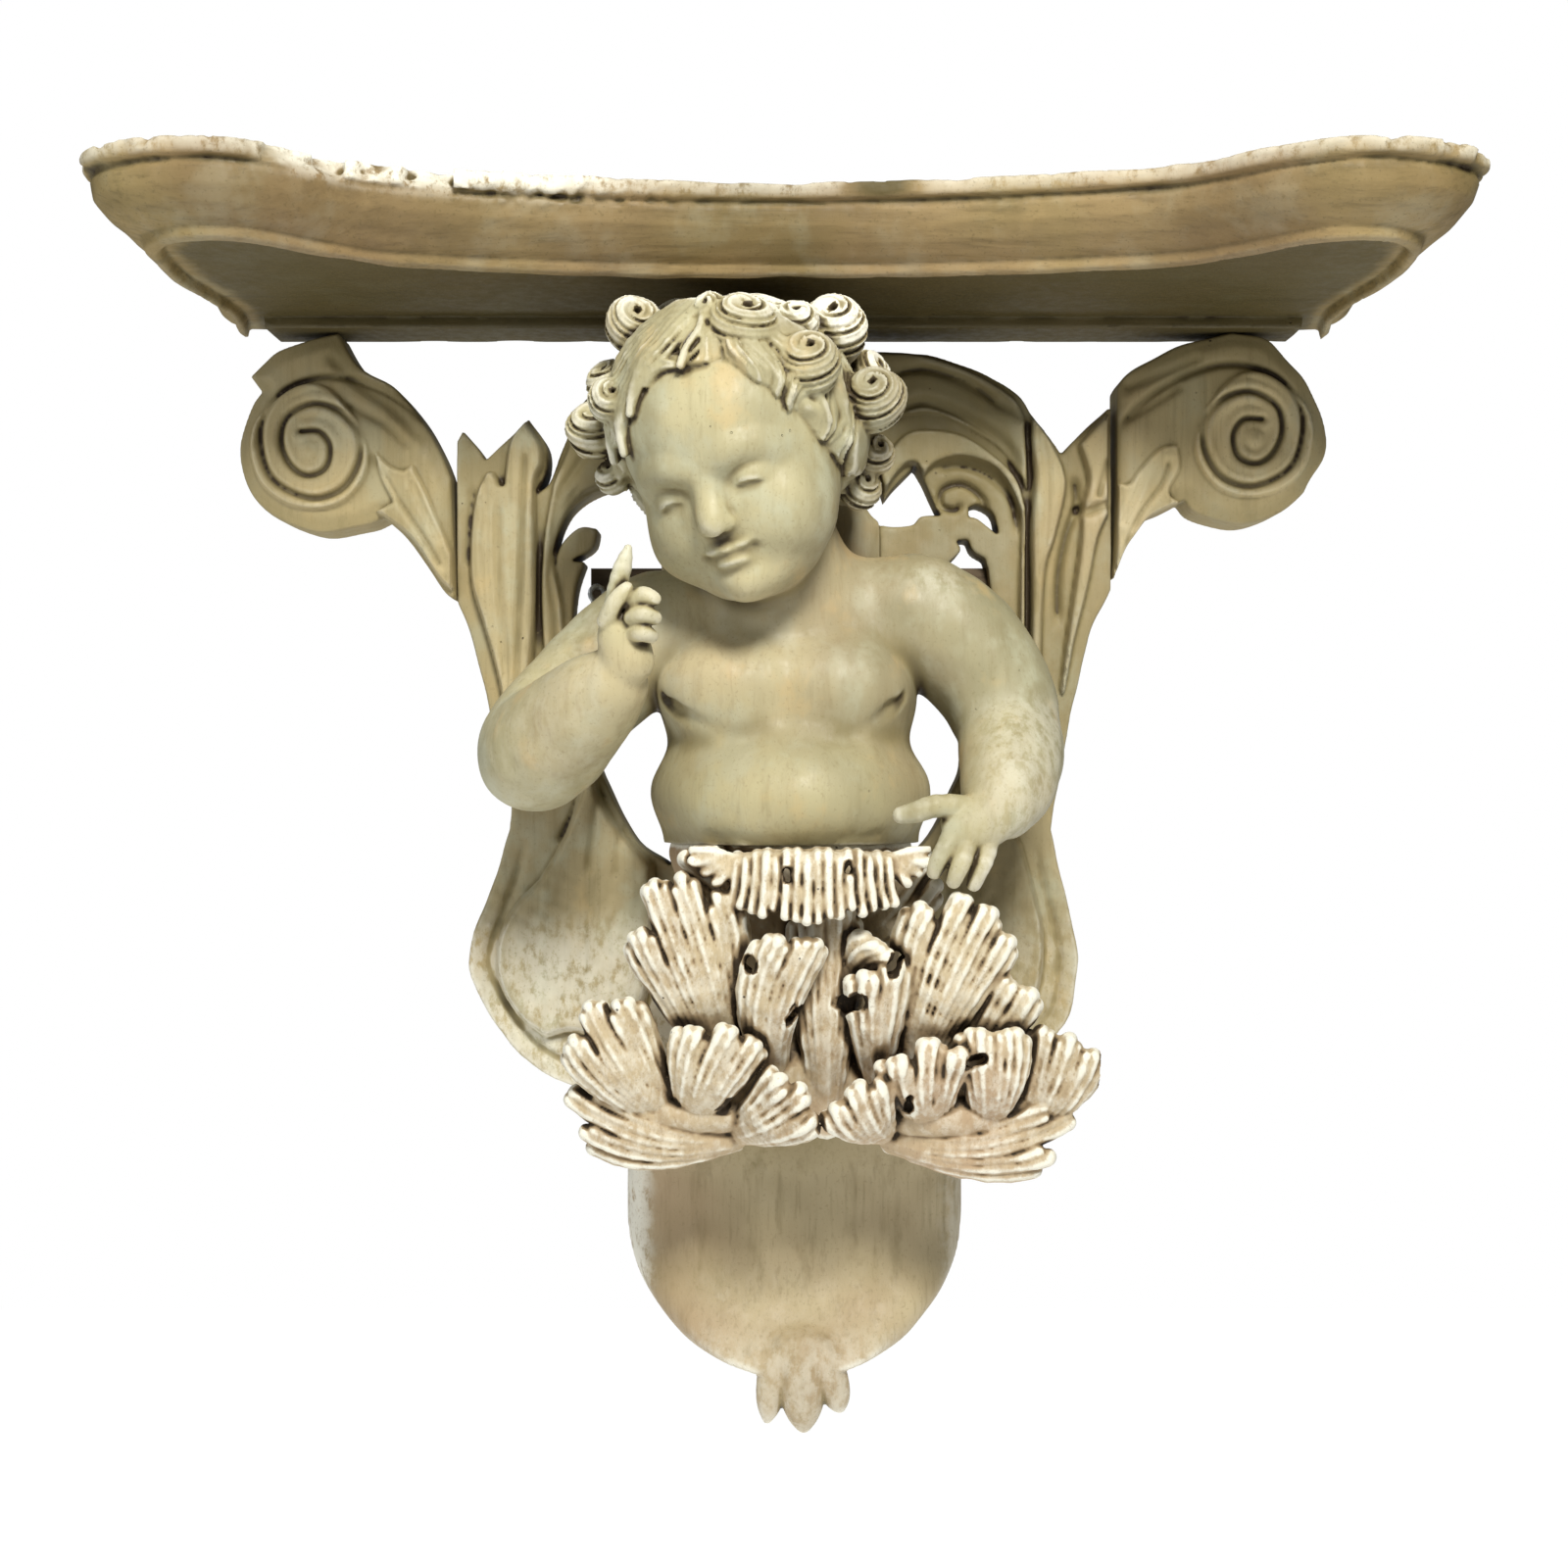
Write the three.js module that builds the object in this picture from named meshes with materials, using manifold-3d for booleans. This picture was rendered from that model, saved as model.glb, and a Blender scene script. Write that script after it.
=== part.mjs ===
// A carved wooden wall corbel: a half-length cherub rises from acanthus leaves in front of an
// openwork board of scrolls and carries a moulded shelf on its head's level. Sizes are in
// millimetres. X runs along the wall to the viewer's right, Y into the wall and Z up. The origin
// lies on the back of the board, where it is fixed to the wall, behind the figure's belly.
import * as THREE from "three";
import { mergeVertices } from "three/addons/utils/BufferGeometryUtils.js";
import Module from "manifold-3d";

const wasm = await Module();
wasm.setup();

// Driving dimensions
const SHELF_WIDTH = 776; // across the widest part of the top edge
const SHELF_DEPTH = 181; // from the wall to the middle of the hollow front
const CORNER_REACH = 77; // how far the round corners stand out past the middle
const SHELF_THICKNESS = 50;
const MOULDING_DEPTH = 32; // how far the moulding steps in from the top edge
const BOARD_SPAN = 712; // across both volutes
const BOARD_HEIGHT = 505; // from the board's foot to the tops of the volutes
const BOARD_THICKNESS = 28; // the board's ground, without its raised carving
const CARVING_HEIGHT = 12; // how far the highest carving stands out from the ground
const SEAM_GAP = 3.4; // the open seams between the board and the volute planks
const BATTEN_THICKNESS = 15;
const BATTEN_HEIGHT = 62;
const CROWN_CLEARANCE = 7; // air between the curls and the shelf
const PENDANT_HEIGHT = 166; // without the leaf tip
const PENDANT_WIDTH = 224;
const PENDANT_TOP_DEPTH = 62;
const PENDANT_LIP_DEPTH = 86;
const LEAF_TIP_LENGTH = 40;
const EYE_RING_RADIUS = 5.2;
const EYE_WIRE_RADIUS = 1.7;
const EYE_SHANK_LENGTH = 9;
const JOINT_GAP = 0.3; // between pieces that bear on each other

// The board's outlines are drawn on a board of this span and height, from the mount point.
const DRAWN_SPAN = 712;
const DRAWN_HEIGHT = 505;
const DRAWN_TOP = 296;
// The figure and its leaves are drawn for a figure of this height above the waist joint.
const DRAWN_FIGURE = 332;
const DRAWN_WAIST = -36;

const acrossBoard = BOARD_SPAN / DRAWN_SPAN;
const upBoard = BOARD_HEIGHT / DRAWN_HEIGHT;
const boardTop = DRAWN_TOP * upBoard;
const boardFoot = boardTop - BOARD_HEIGHT;
const boardFront = -(BOARD_THICKNESS + CARVING_HEIGHT);
const shelfBottom = boardTop + JOINT_GAP;
const soffit = shelfBottom + 0.16 * SHELF_THICKNESS;
const figureBack = boardFront - JOINT_GAP;
const waist = DRAWN_WAIST * upBoard;
const figureScale = (soffit - CROWN_CLEARANCE - waist) / DRAWN_FIGURE;

const vector = (p) => new THREE.Vector3(p[0], p[1], p[2]);

// Joining and cutting

function solidOf(geometry) {
  const bare = new THREE.BufferGeometry();
  bare.setAttribute("position", geometry.getAttribute("position").clone());
  if (geometry.index) bare.setIndex(geometry.index.clone());
  const merged = mergeVertices(bare, 1e-4);
  return new wasm.Manifold(
    new wasm.Mesh({
      numProp: 3,
      vertProperties: new Float32Array(merged.attributes.position.array),
      triVerts: new Uint32Array(merged.index.array),
    }),
  );
}

function geometryOf(solid) {
  const mesh = solid.getMesh();
  const geometry = new THREE.BufferGeometry();
  geometry.setAttribute("position", new THREE.BufferAttribute(new Float32Array(mesh.vertProperties), 3));
  geometry.setIndex(new THREE.BufferAttribute(new Uint32Array(mesh.triVerts), 1));
  const flat = geometry.toNonIndexed();
  flat.computeVertexNormals();
  return flat;
}

const join = (solids) => solids.reduce((whole, next) => whole.add(next));

const box = (low, high) => {
  const size = high.map((value, i) => value - low[i]);
  const geometry = new THREE.BoxGeometry(...size);
  geometry.translate(...low.map((value, i) => value + size[i] / 2));
  return solidOf(geometry);
};

// Lofted forms

// A closed skin through rings of equally many points, with a flat or pointed cap at each end.
function skin(rings, capStart, capEnd) {
  const count = rings[0].length;
  const positions = rings.flat().flatMap((p) => [p.x, p.y, p.z]);
  const faces = [];
  for (let i = 0; i < rings.length - 1; i++)
    for (let j = 0; j < count; j++) {
      const a = i * count + j;
      const b = i * count + ((j + 1) % count);
      faces.push(a, b, b + count, a, b + count, a + count);
    }
  const first = positions.length / 3;
  positions.push(capStart.x, capStart.y, capStart.z, capEnd.x, capEnd.y, capEnd.z);
  const last = (rings.length - 1) * count;
  for (let j = 0; j < count; j++) {
    const next = (j + 1) % count;
    faces.push(first, next, j, first + 1, last + j, last + next);
  }
  const geometry = new THREE.BufferGeometry();
  geometry.setAttribute("position", new THREE.Float32BufferAttribute(positions, 3));
  geometry.setIndex(faces);
  return facingOut(geometry);
}

// A skin through flat rings of equally many points, closed at each end by the triangles of a
// flat outline with the same points.
function prismSkin(rings, flatStart, flatEnd) {
  const count = rings[0].length;
  const positions = rings.flat().flatMap((p) => [p.x, p.y, p.z]);
  const faces = [];
  for (let i = 0; i < rings.length - 1; i++)
    for (let j = 0; j < count; j++) {
      const a = i * count + j;
      const b = i * count + ((j + 1) % count);
      faces.push(a, b, b + count, a, b + count, a + count);
    }
  const cap = (flat, first, atStart) => {
    const sense = THREE.ShapeUtils.area(flat) > 0;
    THREE.ShapeUtils.triangulateShape(flat, []).forEach(([a, b, c]) => {
      const turned = THREE.ShapeUtils.area([flat[a], flat[b], flat[c]]) > 0 === sense;
      const corners = (turned === atStart ? [a, c, b] : [a, b, c]).map((k) => k + first);
      faces.push(...corners);
    });
  };
  cap(flatStart, 0, true);
  cap(flatEnd, (rings.length - 1) * count, false);
  const geometry = new THREE.BufferGeometry();
  geometry.setAttribute("position", new THREE.Float32BufferAttribute(positions, 3));
  geometry.setIndex(faces);
  return facingOut(geometry);
}

// A solid through level rings, from the top down.
function levelSolid(rings) {
  const flat = (ring) => ring.map((p) => new THREE.Vector2(p.x, p.y));
  return solidOf(prismSkin(rings, flat(rings[0]), flat(rings[rings.length - 1])));
}

function facingOut(geometry) {
  const p = geometry.attributes.position;
  const index = geometry.index.array;
  const corner = (i) => new THREE.Vector3().fromBufferAttribute(p, index[i]);
  let volume = 0;
  for (let i = 0; i < index.length; i += 3)
    volume += corner(i).dot(corner(i + 1).cross(corner(i + 2)));
  if (volume < 0)
    for (let i = 0; i < index.length; i += 3)
      [index[i + 1], index[i + 2]] = [index[i + 2], index[i + 1]];
  return geometry;
}

// A rounded limb through stations [x, forward, up, half width, half depth].
function limb(stations, { sides = 12, steps = 8, flatEnds = false, across = [1, 0, 0] } = {}) {
  const curve = new THREE.CatmullRomCurve3(stations.map((s) => new THREE.Vector3(s[0], -s[1], s[2])));
  const last = stations.length - 1;
  const radiiAt = (t) => {
    const i = Math.min(last - 1, Math.floor(t * last));
    const f = t * last - i;
    const ease = f * f * (3 - 2 * f);
    return [3, 4].map((k) => {
      const a = stations[i][k] ?? stations[i][3];
      const b = stations[i + 1][k] ?? stations[i + 1][3];
      return a + (b - a) * ease;
    });
  };
  const ringAt = (centre, tangent, [wide, deep]) => {
    const front = new THREE.Vector3().crossVectors(vector(across), tangent).normalize();
    const side = new THREE.Vector3().crossVectors(tangent, front);
    return Array.from({ length: sides }, (_, j) => {
      const turn = (2 * Math.PI * j) / sides;
      return centre
        .clone()
        .addScaledVector(side, wide * Math.cos(turn))
        .addScaledVector(front, deep * Math.sin(turn));
    });
  };
  const rings = [];
  const bulge = (t, way) => {
    const centre = curve.getPoint(t);
    const tangent = curve.getTangent(t);
    const radii = radiiAt(t);
    const reach = (radii[0] + radii[1]) / 2;
    const out = [30, 60].map((degrees) => {
      const turn = THREE.MathUtils.degToRad(degrees);
      const at = centre.clone().addScaledVector(tangent, way * reach * Math.sin(turn));
      return ringAt(at, tangent, radii.map((r) => r * Math.cos(turn)));
    });
    return { out, pole: centre.clone().addScaledVector(tangent, way * reach) };
  };
  const start = bulge(0, -1);
  const end = bulge(1, 1);
  if (!flatEnds) rings.push(start.out[1], start.out[0]);
  for (let i = 0; i <= steps; i++)
    rings.push(ringAt(curve.getPoint(i / steps), curve.getTangent(i / steps), radiiAt(i / steps)));
  if (!flatEnds) rings.push(end.out[0], end.out[1]);
  const caps = flatEnds ? [curve.getPoint(0), curve.getPoint(1)] : [start.pole, end.pole];
  return solidOf(skin(rings, ...caps));
}

// An egg at [x, forward, up] with half sizes in the same order.
function egg([x, forward, up, wide, deep, tall], detail = [14, 10]) {
  const geometry = new THREE.SphereGeometry(1, ...detail);
  geometry.rotateX(Math.PI / 2);
  geometry.scale(wide, deep, tall);
  geometry.translate(x, -forward, up);
  return solidOf(geometry);
}

// Flat outlines

// A closed outline from runs of points: smooth along each run, with a corner where two runs meet.
function outline(runs, steps = 2) {
  const points = [];
  const add = (p) => {
    const near = (q) => q && q.distanceTo(p) < 0.05;
    if (!near(points[points.length - 1]) && !near(points[0])) points.push(p);
  };
  runs.forEach((run) => {
    const placed = run.map(([x, z]) => new THREE.Vector2(x * acrossBoard, z * upBoard));
    const straight = placed.length < 3;
    const along = straight ? placed : new THREE.SplineCurve(placed).getPoints(steps * (placed.length - 1));
    along.forEach(add);
  });
  return points;
}

// The outline drawn in by a small width, so that a plate can have a rounded-over edge.
function drawnIn(points, width) {
  const sense = THREE.ShapeUtils.area(points) > 0 ? 1 : -1;
  return points.map((p, i) => {
    const before = points[(i + points.length - 1) % points.length];
    const after = points[(i + 1) % points.length];
    const ahead = after.clone().sub(p).normalize();
    const behind = p.clone().sub(before).normalize();
    const along = ahead.clone().add(behind).normalize();
    const stretch = Math.min(1.3, 1 / Math.max(0.3, along.dot(ahead)));
    return new THREE.Vector2(-along.y, along.x).multiplyScalar(sense * width * stretch).add(p);
  });
}

// A plate cut to an outline between two depths in front of the wall, its front edge eased.
function plate(points, from, to, edge = 0) {
  const at = (flat, depth) => flat.map((p) => new THREE.Vector3(p.x, -depth, p.y));
  const rings = [at(points, from), at(points, to - edge)];
  if (edge > 0) rings.push(at(drawnIn(points, edge), to));
  return solidOf(prismSkin(rings, points, points));
}

// The shelf

const LEDGE_REACH = 0.435; // of the width, each way from the middle
const LOSS_SPAN = [-0.345, -0.25]; // of the width, where the top edge has broken away
const LOSS_FRONT = 0.23; // of the corner's reach, how far out the broken face lies
const LOSS_FLOOR = 0.8; // of the thickness
// The plan of the top edge and of the moulding's inner edge, for the right half: how far along
// the half width, and how far out as [share of the depth, share of the corner reach].
const TOP_EDGE = [
  [0, 1, 0],
  [0.286, 1, 0.12],
  [0.56, 1, 0.4],
  [0.675, 1, 0.76],
  [0.78, 1, 1],
  [0.875, 1, 0.98],
  [0.965, 1, 0.8],
  [1.005, 1, 0.5],
  [1, 0.9, 0],
  [0.964, 0.4, 0],
  [1, 0, 0],
];
const INNER_EDGE = [
  [0, 1, 0],
  [0.3, 1, 0.08],
  [0.57, 1, 0.3],
  [0.665, 1, 0.56],
  [0.77, 1, 0.96],
  [0.85, 1, 0.96],
  [0.9, 1, 0.72],
  [0.915, 1, 0.42],
  [0.92, 0.9, 0],
  [0.9, 0.4, 0],
  [0.925, 0, 0],
];
// The moulding from the top down: how far in from the top edge, and how high in the shelf.
const MOULDING = [
  [0.06, 1],
  [0, 0.95],
  [0, 0.83],
  [0.06, 0.79],
  [0.26, 0.78],
  [0.18, 0.66],
  [0.2, 0.52],
  [0.36, 0.36],
  [0.6, 0.23],
  [0.76, 0.18],
  [0.8, 0.06],
  [0.92, 0.03],
  [1, 0.08],
  [1.04, 0.16],
];

function planCurve(edge, inset) {
  const half = edge.map(([x, depth, reach]) => {
    const side = (x * SHELF_WIDTH) / 2;
    const out = depth * SHELF_DEPTH + reach * CORNER_REACH - (depth > 0 ? inset * Math.min(1, depth) : 0);
    return new THREE.Vector3(side, -out, 0);
  });
  const other = half.slice(1).reverse().map((p) => new THREE.Vector3(-p.x, p.y, 0));
  return new THREE.CatmullRomCurve3([...other, ...half]);
}

function makeShelf() {
  const steps = 44;
  const outer = planCurve(TOP_EDGE, 0).getPoints(steps);
  const inner = planCurve(INNER_EDGE, MOULDING_DEPTH).getPoints(steps);
  // Each ring runs on a little way into the wall, and the back is then cut off flat.
  const ring = ([inset, height], level) =>
    outer.map((p, i) => {
      const at = p.clone().lerp(inner[i], inset);
      at.z = shelfBottom + height * SHELF_THICKNESS;
      if (i === 0 || i === steps) at.y = 10 + level;
      return at;
    });
  const big = SHELF_WIDTH + SHELF_DEPTH;
  const body = levelSolid(MOULDING.map(ring)).subtract(box([-big, 0, -big], [big, big, big]));
  const reach = LEDGE_REACH * SHELF_WIDTH;
  const ledge = box([-reach, figureBack, shelfBottom], [reach, -JOINT_GAP, soffit + 2]);
  const brokenFace = -SHELF_DEPTH - LOSS_FRONT * CORNER_REACH;
  const loss = box(
    [LOSS_SPAN[0] * SHELF_WIDTH, -big, shelfBottom + LOSS_FLOOR * SHELF_THICKNESS],
    [LOSS_SPAN[1] * SHELF_WIDTH, brokenFace, big],
  );
  return body.add(ledge).subtract(loss);
}

// The openwork board

const SEAM_X = 215; // where the volute planks join the board, as drawn
const BOARD_RIGHT = [
  [[0, 284], [52, 284], [90, 283], [128, 271], [154, 256], [163, 243]],
  [[163, 243], [177, 224], [182, 216]],
  [[182, 216], [196, 231], [213, 247]],
  [[SEAM_X, 247]],
  [[SEAM_X, 128]],
  [[SEAM_X, 128], [203, 104], [198, 87], [188, 43], [181, 4], [175, -30]],
  [[175, -30], [182, -60], [191, -98], [193, -122], [185, -158], [153, -185], [104, -209]],
];
const BOARD_LEFT = [
  [[-96, -209]],
  [[-96, -209], [-133, -201], [-173, -179], [-203, -134], [-206, -105], [-189, -59], [-181, -30]],
  [[-181, -30], [-181, -5], [-194, 50], [-207, 100], [-SEAM_X, 119]],
  [[-SEAM_X, 225]],
  [[-211, 232]],
  [[-211, 232], [-204, 224], [-196, 213]],
  [[-196, 213], [-182, 227], [-168, 240]],
  [[-168, 240], [-157, 222], [-156, 206], [-162, 192]],
  [[-162, 192], [-154, 198], [-146, 219], [-131, 252], [-100, 276], [-52, 284], [0, 284]],
];
// The see-through places, right and left of the figure, above the batten and below it.
const HOLES = {
  rightCrescent: [
    [[63, 222], [69, 217], [61, 205], [66, 187]],
    [[66, 187], [74, 197], [86, 209]],
    [[86, 209], [93, 196], [102, 177]],
    [[102, 177], [90, 176], [84, 170], [70, 169], [58, 174]],
    [[58, 174], [51, 188], [56, 203], [54, 212], [63, 222]],
  ],
  rightBean: [
    [[121, 182], [128, 184], [137, 178], [140, 165]],
    [[140, 165], [127, 174], [121, 175]],
    [[121, 182]],
  ],
  rightGap: [
    [[113, 160], [116, 153], [106, 143]],
    [[80, 132], [84, 96]],
    [[84, 96], [112, 88], [136, 96], [134, 141]],
    [[132, 148], [124, 153], [121, 161]],
    [[113, 160]],
  ],
  leftCrescent: [
    [[-151, 151], [-145, 171], [-138, 182], [-123, 192], [-104, 198]],
    [[-84, 190], [-84, 100], [-139, 94]],
    [[-139, 94], [-139, 109], [-136, 131], [-131, 146]],
    [[-138, 147]],
    [[-138, 147], [-126, 156], [-123, 167]],
    [[-123, 167], [-134, 168], [-144, 161], [-151, 151]],
  ],
  rightLower: [
    [[74, 68], [104, 70], [116, 40], [117, 14], [110, -5], [96, -34], [74, -54]],
    [[74, 68]],
  ],
  leftLower: [
    [[-74, 68], [-104, 70], [-124, 40], [-122, 14], [-112, -10], [-96, -38], [-74, -54]],
    [[-74, 68]],
  ],
};
// Raised carving: outline runs and how much of the carving height it has.
const ARCH_RIGHT = [
  [[20, 280], [60, 281], [92, 279], [126, 267], [150, 252], [158, 242]],
  [[158, 242], [159, 215], [160, 190]],
  [[160, 190], [148, 211], [135, 224], [112, 237], [94, 243], [70, 240], [20, 238]],
  [[20, 280]],
];
const ARCH_LEFT = [
  [[-20, 280], [-52, 281], [-98, 273], [-127, 250], [-143, 217], [-151, 196]],
  [[-151, 196], [-157, 160], [-160, 120], [-156, 60]],
  [[-156, 60], [-143, 62]],
  [[-143, 62], [-144, 110], [-150, 152], [-136, 186], [-104, 201], [-70, 222], [-20, 238]],
  [[-20, 280]],
];
const INNER_LEAF_RIGHT = [
  [[66, 190], [61, 205], [69, 219], [82, 231], [102, 232], [121, 227], [142, 212], [153, 199], [159, 180]],
  [[158, 30]],
  [[152, 30]],
  [[154, 140], [155, 171], [151, 185], [143, 200], [132, 209], [115, 213], [100, 209], [91, 200]],
  [[91, 200], [84, 209], [76, 204], [66, 190]],
];
const TALL_LEAF_RIGHT = [
  [[162, 242], [170, 232], [177, 221], [184, 205], [185, 190], [178, 160], [171, 130], [168, 20]],
  [[168, 20], [156, 10]],
  [[156, 10], [160, 100], [160, 170], [162, 200], [160, 224], [162, 242]],
];
const EDGE_LEAF_RIGHT = [
  [[213, 244], [204, 236], [192, 222]],
  [[192, 222], [198, 200], [196, 190], [198, 176], [210, 174]],
  [[213, 174]],
  [[213, 244]],
];
const TALL_LEAVES_LEFT = [
  [[-169, 238], [-158, 222], [-157, 208], [-162, 190], [-162, 120], [-166, 60], [-170, 20]],
  [[-170, 20], [-184, 20]],
  [[-184, 20], [-186, 60], [-196, 100], [-205, 130], [-206, 160], [-203, 186], [-196, 203], [-190, 205]],
  [[-190, 205], [-184, 196]],
  [[-184, 196], [-180, 224], [-169, 238]],
];
const LOBE_RIGHT = [
  [[122, 34], [128, 0], [146, -24], [156, -38]],
  [[156, -38], [165, -70], [171, -100], [168, -134], [156, -154], [138, -163], [96, -164]],
  [[96, -164], [88, -110], [86, -54]],
  [[86, -54], [104, -34], [118, -4], [122, 34]],
];
const LOBE_LEFT = [
  [[-127, 30], [-140, -20], [-149, -42], [-161, -62]],
  [[-161, -62], [-178, -80], [-188, -102], [-188, -128], [-175, -152], [-156, -167]],
  [[-156, -167], [-128, -164], [-96, -176]],
  [[-96, -176], [-84, -110], [-84, -52]],
  [[-84, -52], [-104, -32], [-120, -4], [-127, 30]],
];
const RAISED = [
  [ARCH_RIGHT, 0.45],
  [ARCH_LEFT, 0.45],
  [INNER_LEAF_RIGHT, 0.6],
  [TALL_LEAF_RIGHT, 1],
  [EDGE_LEAF_RIGHT, 0.8],
  [TALL_LEAVES_LEFT, 1],
  [LOBE_RIGHT, 1],
  [LOBE_LEFT, 1],
];
const SPINE = [-62, 62, 230]; // the plain middle that the figure's back bears on: sides and top
const NECK = [-70, 44]; // its narrower upper part, which bears the shelf behind the head

function raisedPlate(runs, height) {
  return plate(outline(runs), BOARD_THICKNESS - 2, BOARD_THICKNESS + height, 0.25 * height);
}

function makeBoard() {
  const face = outline([...BOARD_RIGHT, ...BOARD_LEFT]);
  const holes = join(Object.values(HOLES).map((runs) => plate(outline(runs), -5, 90)));
  const ground = plate(face, 0, BOARD_THICKNESS);
  const raised = RAISED.map(([runs, share]) =>
    raisedPlate(runs, share * CARVING_HEIGHT),
  );
  const [left, right, spineTop] = SPINE;
  const spine = box(
    [left * acrossBoard, boardFront, boardFoot],
    [right * acrossBoard, -BOARD_THICKNESS / 2, spineTop * upBoard],
  );
  const neck = box(
    [NECK[0] * acrossBoard, boardFront, (spineTop - 20) * upBoard],
    [NECK[1] * acrossBoard, 0, boardTop],
  );
  const blank = plate(face, 0, -boardFront);
  const carved = join([ground, ...raised]).intersect(blank).subtract(holes);
  return join([carved, spine, neck]).subtract(battenSpace(JOINT_GAP));
}

// The batten

const BATTEN_TOP = 143; // as drawn, from the mount point
const BATTEN_LEFT = -128;
const BATTEN_RIGHT = 136;

function battenSpace(clearance) {
  const top = BATTEN_TOP * upBoard;
  return box(
    [BATTEN_LEFT * acrossBoard - clearance, -BATTEN_THICKNESS - clearance, top - BATTEN_HEIGHT - clearance],
    [BATTEN_RIGHT * acrossBoard + clearance, clearance, top + clearance],
  );
}

function makeBatten() {
  const top = BATTEN_TOP * upBoard;
  return box(
    [BATTEN_LEFT * acrossBoard, -BATTEN_THICKNESS, top - BATTEN_HEIGHT],
    [BATTEN_RIGHT * acrossBoard, 0, top],
  );
}

// A bent screw eye whose ring faces forward, held by its shank at the top.
function makeEye() {
  const ring = new THREE.TorusGeometry(EYE_RING_RADIUS, EYE_WIRE_RADIUS, 8, 14);
  ring.rotateX(Math.PI / 2);
  ring.rotateZ(0.6);
  const front = -BATTEN_THICKNESS - JOINT_GAP;
  ring.translate(0, front - EYE_SHANK_LENGTH, 0);
  const shank = new THREE.CylinderGeometry(EYE_WIRE_RADIUS, EYE_WIRE_RADIUS, EYE_SHANK_LENGTH, 10);
  shank.translate(0, front - EYE_SHANK_LENGTH / 2, EYE_RING_RADIUS);
  const joined = solidOf(ring).add(solidOf(shank));
  return joined.translate([(BATTEN_LEFT + 5) * acrossBoard, 0, (BATTEN_TOP - 18) * upBoard]);
}

// The volute planks

const WING_RIGHT = [
  [[SEAM_X, 254], [223, 267], [242, 279], [268, 290], [293, 295.5]],
  [[293, 295.5], [313, 293], [325, 284], [341, 265], [353, 239], [355, 217], [341, 191]],
  [[341, 191], [322, 176], [297, 170], [271, 177], [262, 186]],
  [[262, 186], [250, 179], [236, 172], [223, 153], [SEAM_X, 130]],
  [[SEAM_X, 254]],
];
const WING_LEFT = [
  [[-SEAM_X, 120], [-224, 128], [-242, 155], [-262, 175]],
  [[-262, 175], [-276, 169], [-305, 165], [-336, 176], [-352, 196], [-357, 220], [-349, 246], [-342, 257]],
  [[-350, 267]],
  [[-350, 267], [-340, 276], [-330, 284], [-310, 291], [-292, 295.5]],
  [[-292, 295.5], [-279, 274], [-257, 261], [-240, 243], [-225, 217], [-SEAM_X, 190]],
  [[-SEAM_X, 120]],
];
const VOLUTE_RIGHT = { x: 303, z: 224, radius: 42, turns: 1.9, way: -1, start: 200 };
const VOLUTE_LEFT = { x: -309, z: 218, radius: 40, turns: 1.7, way: 1, start: 250 };
const HUSK_RIGHT = [
  [[SEAM_X, 200], [224, 196], [230, 204], [244, 219], [257, 222]],
  [[257, 222], [259, 206], [252, 190], [262, 184]],
  [[262, 184], [240, 172], [226, 152], [SEAM_X, 132]],
  [[SEAM_X, 200]],
];
const HUSK_LEFT = [
  [[-SEAM_X, 124], [-226, 134], [-244, 160], [-262, 174], [-268, 178]],
  [[-268, 178], [-256, 184]],
  [[-256, 184], [-264, 200], [-268, 219]],
  [[-268, 219], [-256, 208], [-248, 205]],
  [[-248, 205], [-242, 210]],
  [[-242, 210], [-232, 190], [-224, 170]],
  [[-224, 170], [-SEAM_X, 150]],
  [[-SEAM_X, 124]],
];
const EYE_SHARE = 0.27; // the volute's eye, as a share of its radius

// The raised band of a volute, from its outer end into the eye.
function spiralPoints({ x, z, radius, turns, way, start }) {
  const steps = Math.round(14 * turns);
  const point = (t, share) => {
    const reach = radius * (1 - (1 - EYE_SHARE) * t) * share;
    const angle = THREE.MathUtils.degToRad(start + way * 360 * turns * t);
    const centre = new THREE.Vector2(x * acrossBoard, z * upBoard);
    return centre.add(new THREE.Vector2(Math.cos(angle), Math.sin(angle)).multiplyScalar(reach));
  };
  const outerEdge = Array.from({ length: steps + 1 }, (_, i) => point(i / steps, 1));
  const innerEdge = Array.from({ length: steps + 1 }, (_, i) => point(1 - i / steps, 0.74));
  return [...outerEdge, ...innerEdge];
}

function discPoints({ x, z }, radius, count = 20) {
  const centre = new THREE.Vector2(x * acrossBoard, z * upBoard);
  return Array.from({ length: count }, (_, i) => {
    const angle = (2 * Math.PI * i) / count;
    return new THREE.Vector2(Math.cos(angle), Math.sin(angle)).multiplyScalar(radius).add(centre);
  });
}

function makeWing(runs, volute, husk, side) {
  const shape = outline(runs);
  const body = plate(shape, 0, BOARD_THICKNESS + 0.35 * CARVING_HEIGHT);
  const floor = BOARD_THICKNESS - 0.25 * CARVING_HEIGHT;
  const sunk = plate(discPoints(volute, volute.radius * 1.1, 28), floor, -2 * boardFront);
  const spiral = plate(spiralPoints(volute), floor - 2, BOARD_THICKNESS + 0.8 * CARVING_HEIGHT);
  const eyeRadius = volute.radius * EYE_SHARE * 1.15;
  const eye = plate(discPoints(volute, eyeRadius), floor - 2, BOARD_THICKNESS + CARVING_HEIGHT, 3);
  const leaf = raisedPlate(husk, CARVING_HEIGHT);
  const carved = body.subtract(sunk).add(spiral).add(eye).add(leaf);
  return carved.intersect(plate(shape, 0, -boardFront)).subtract(seamCut(side));
}

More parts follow.
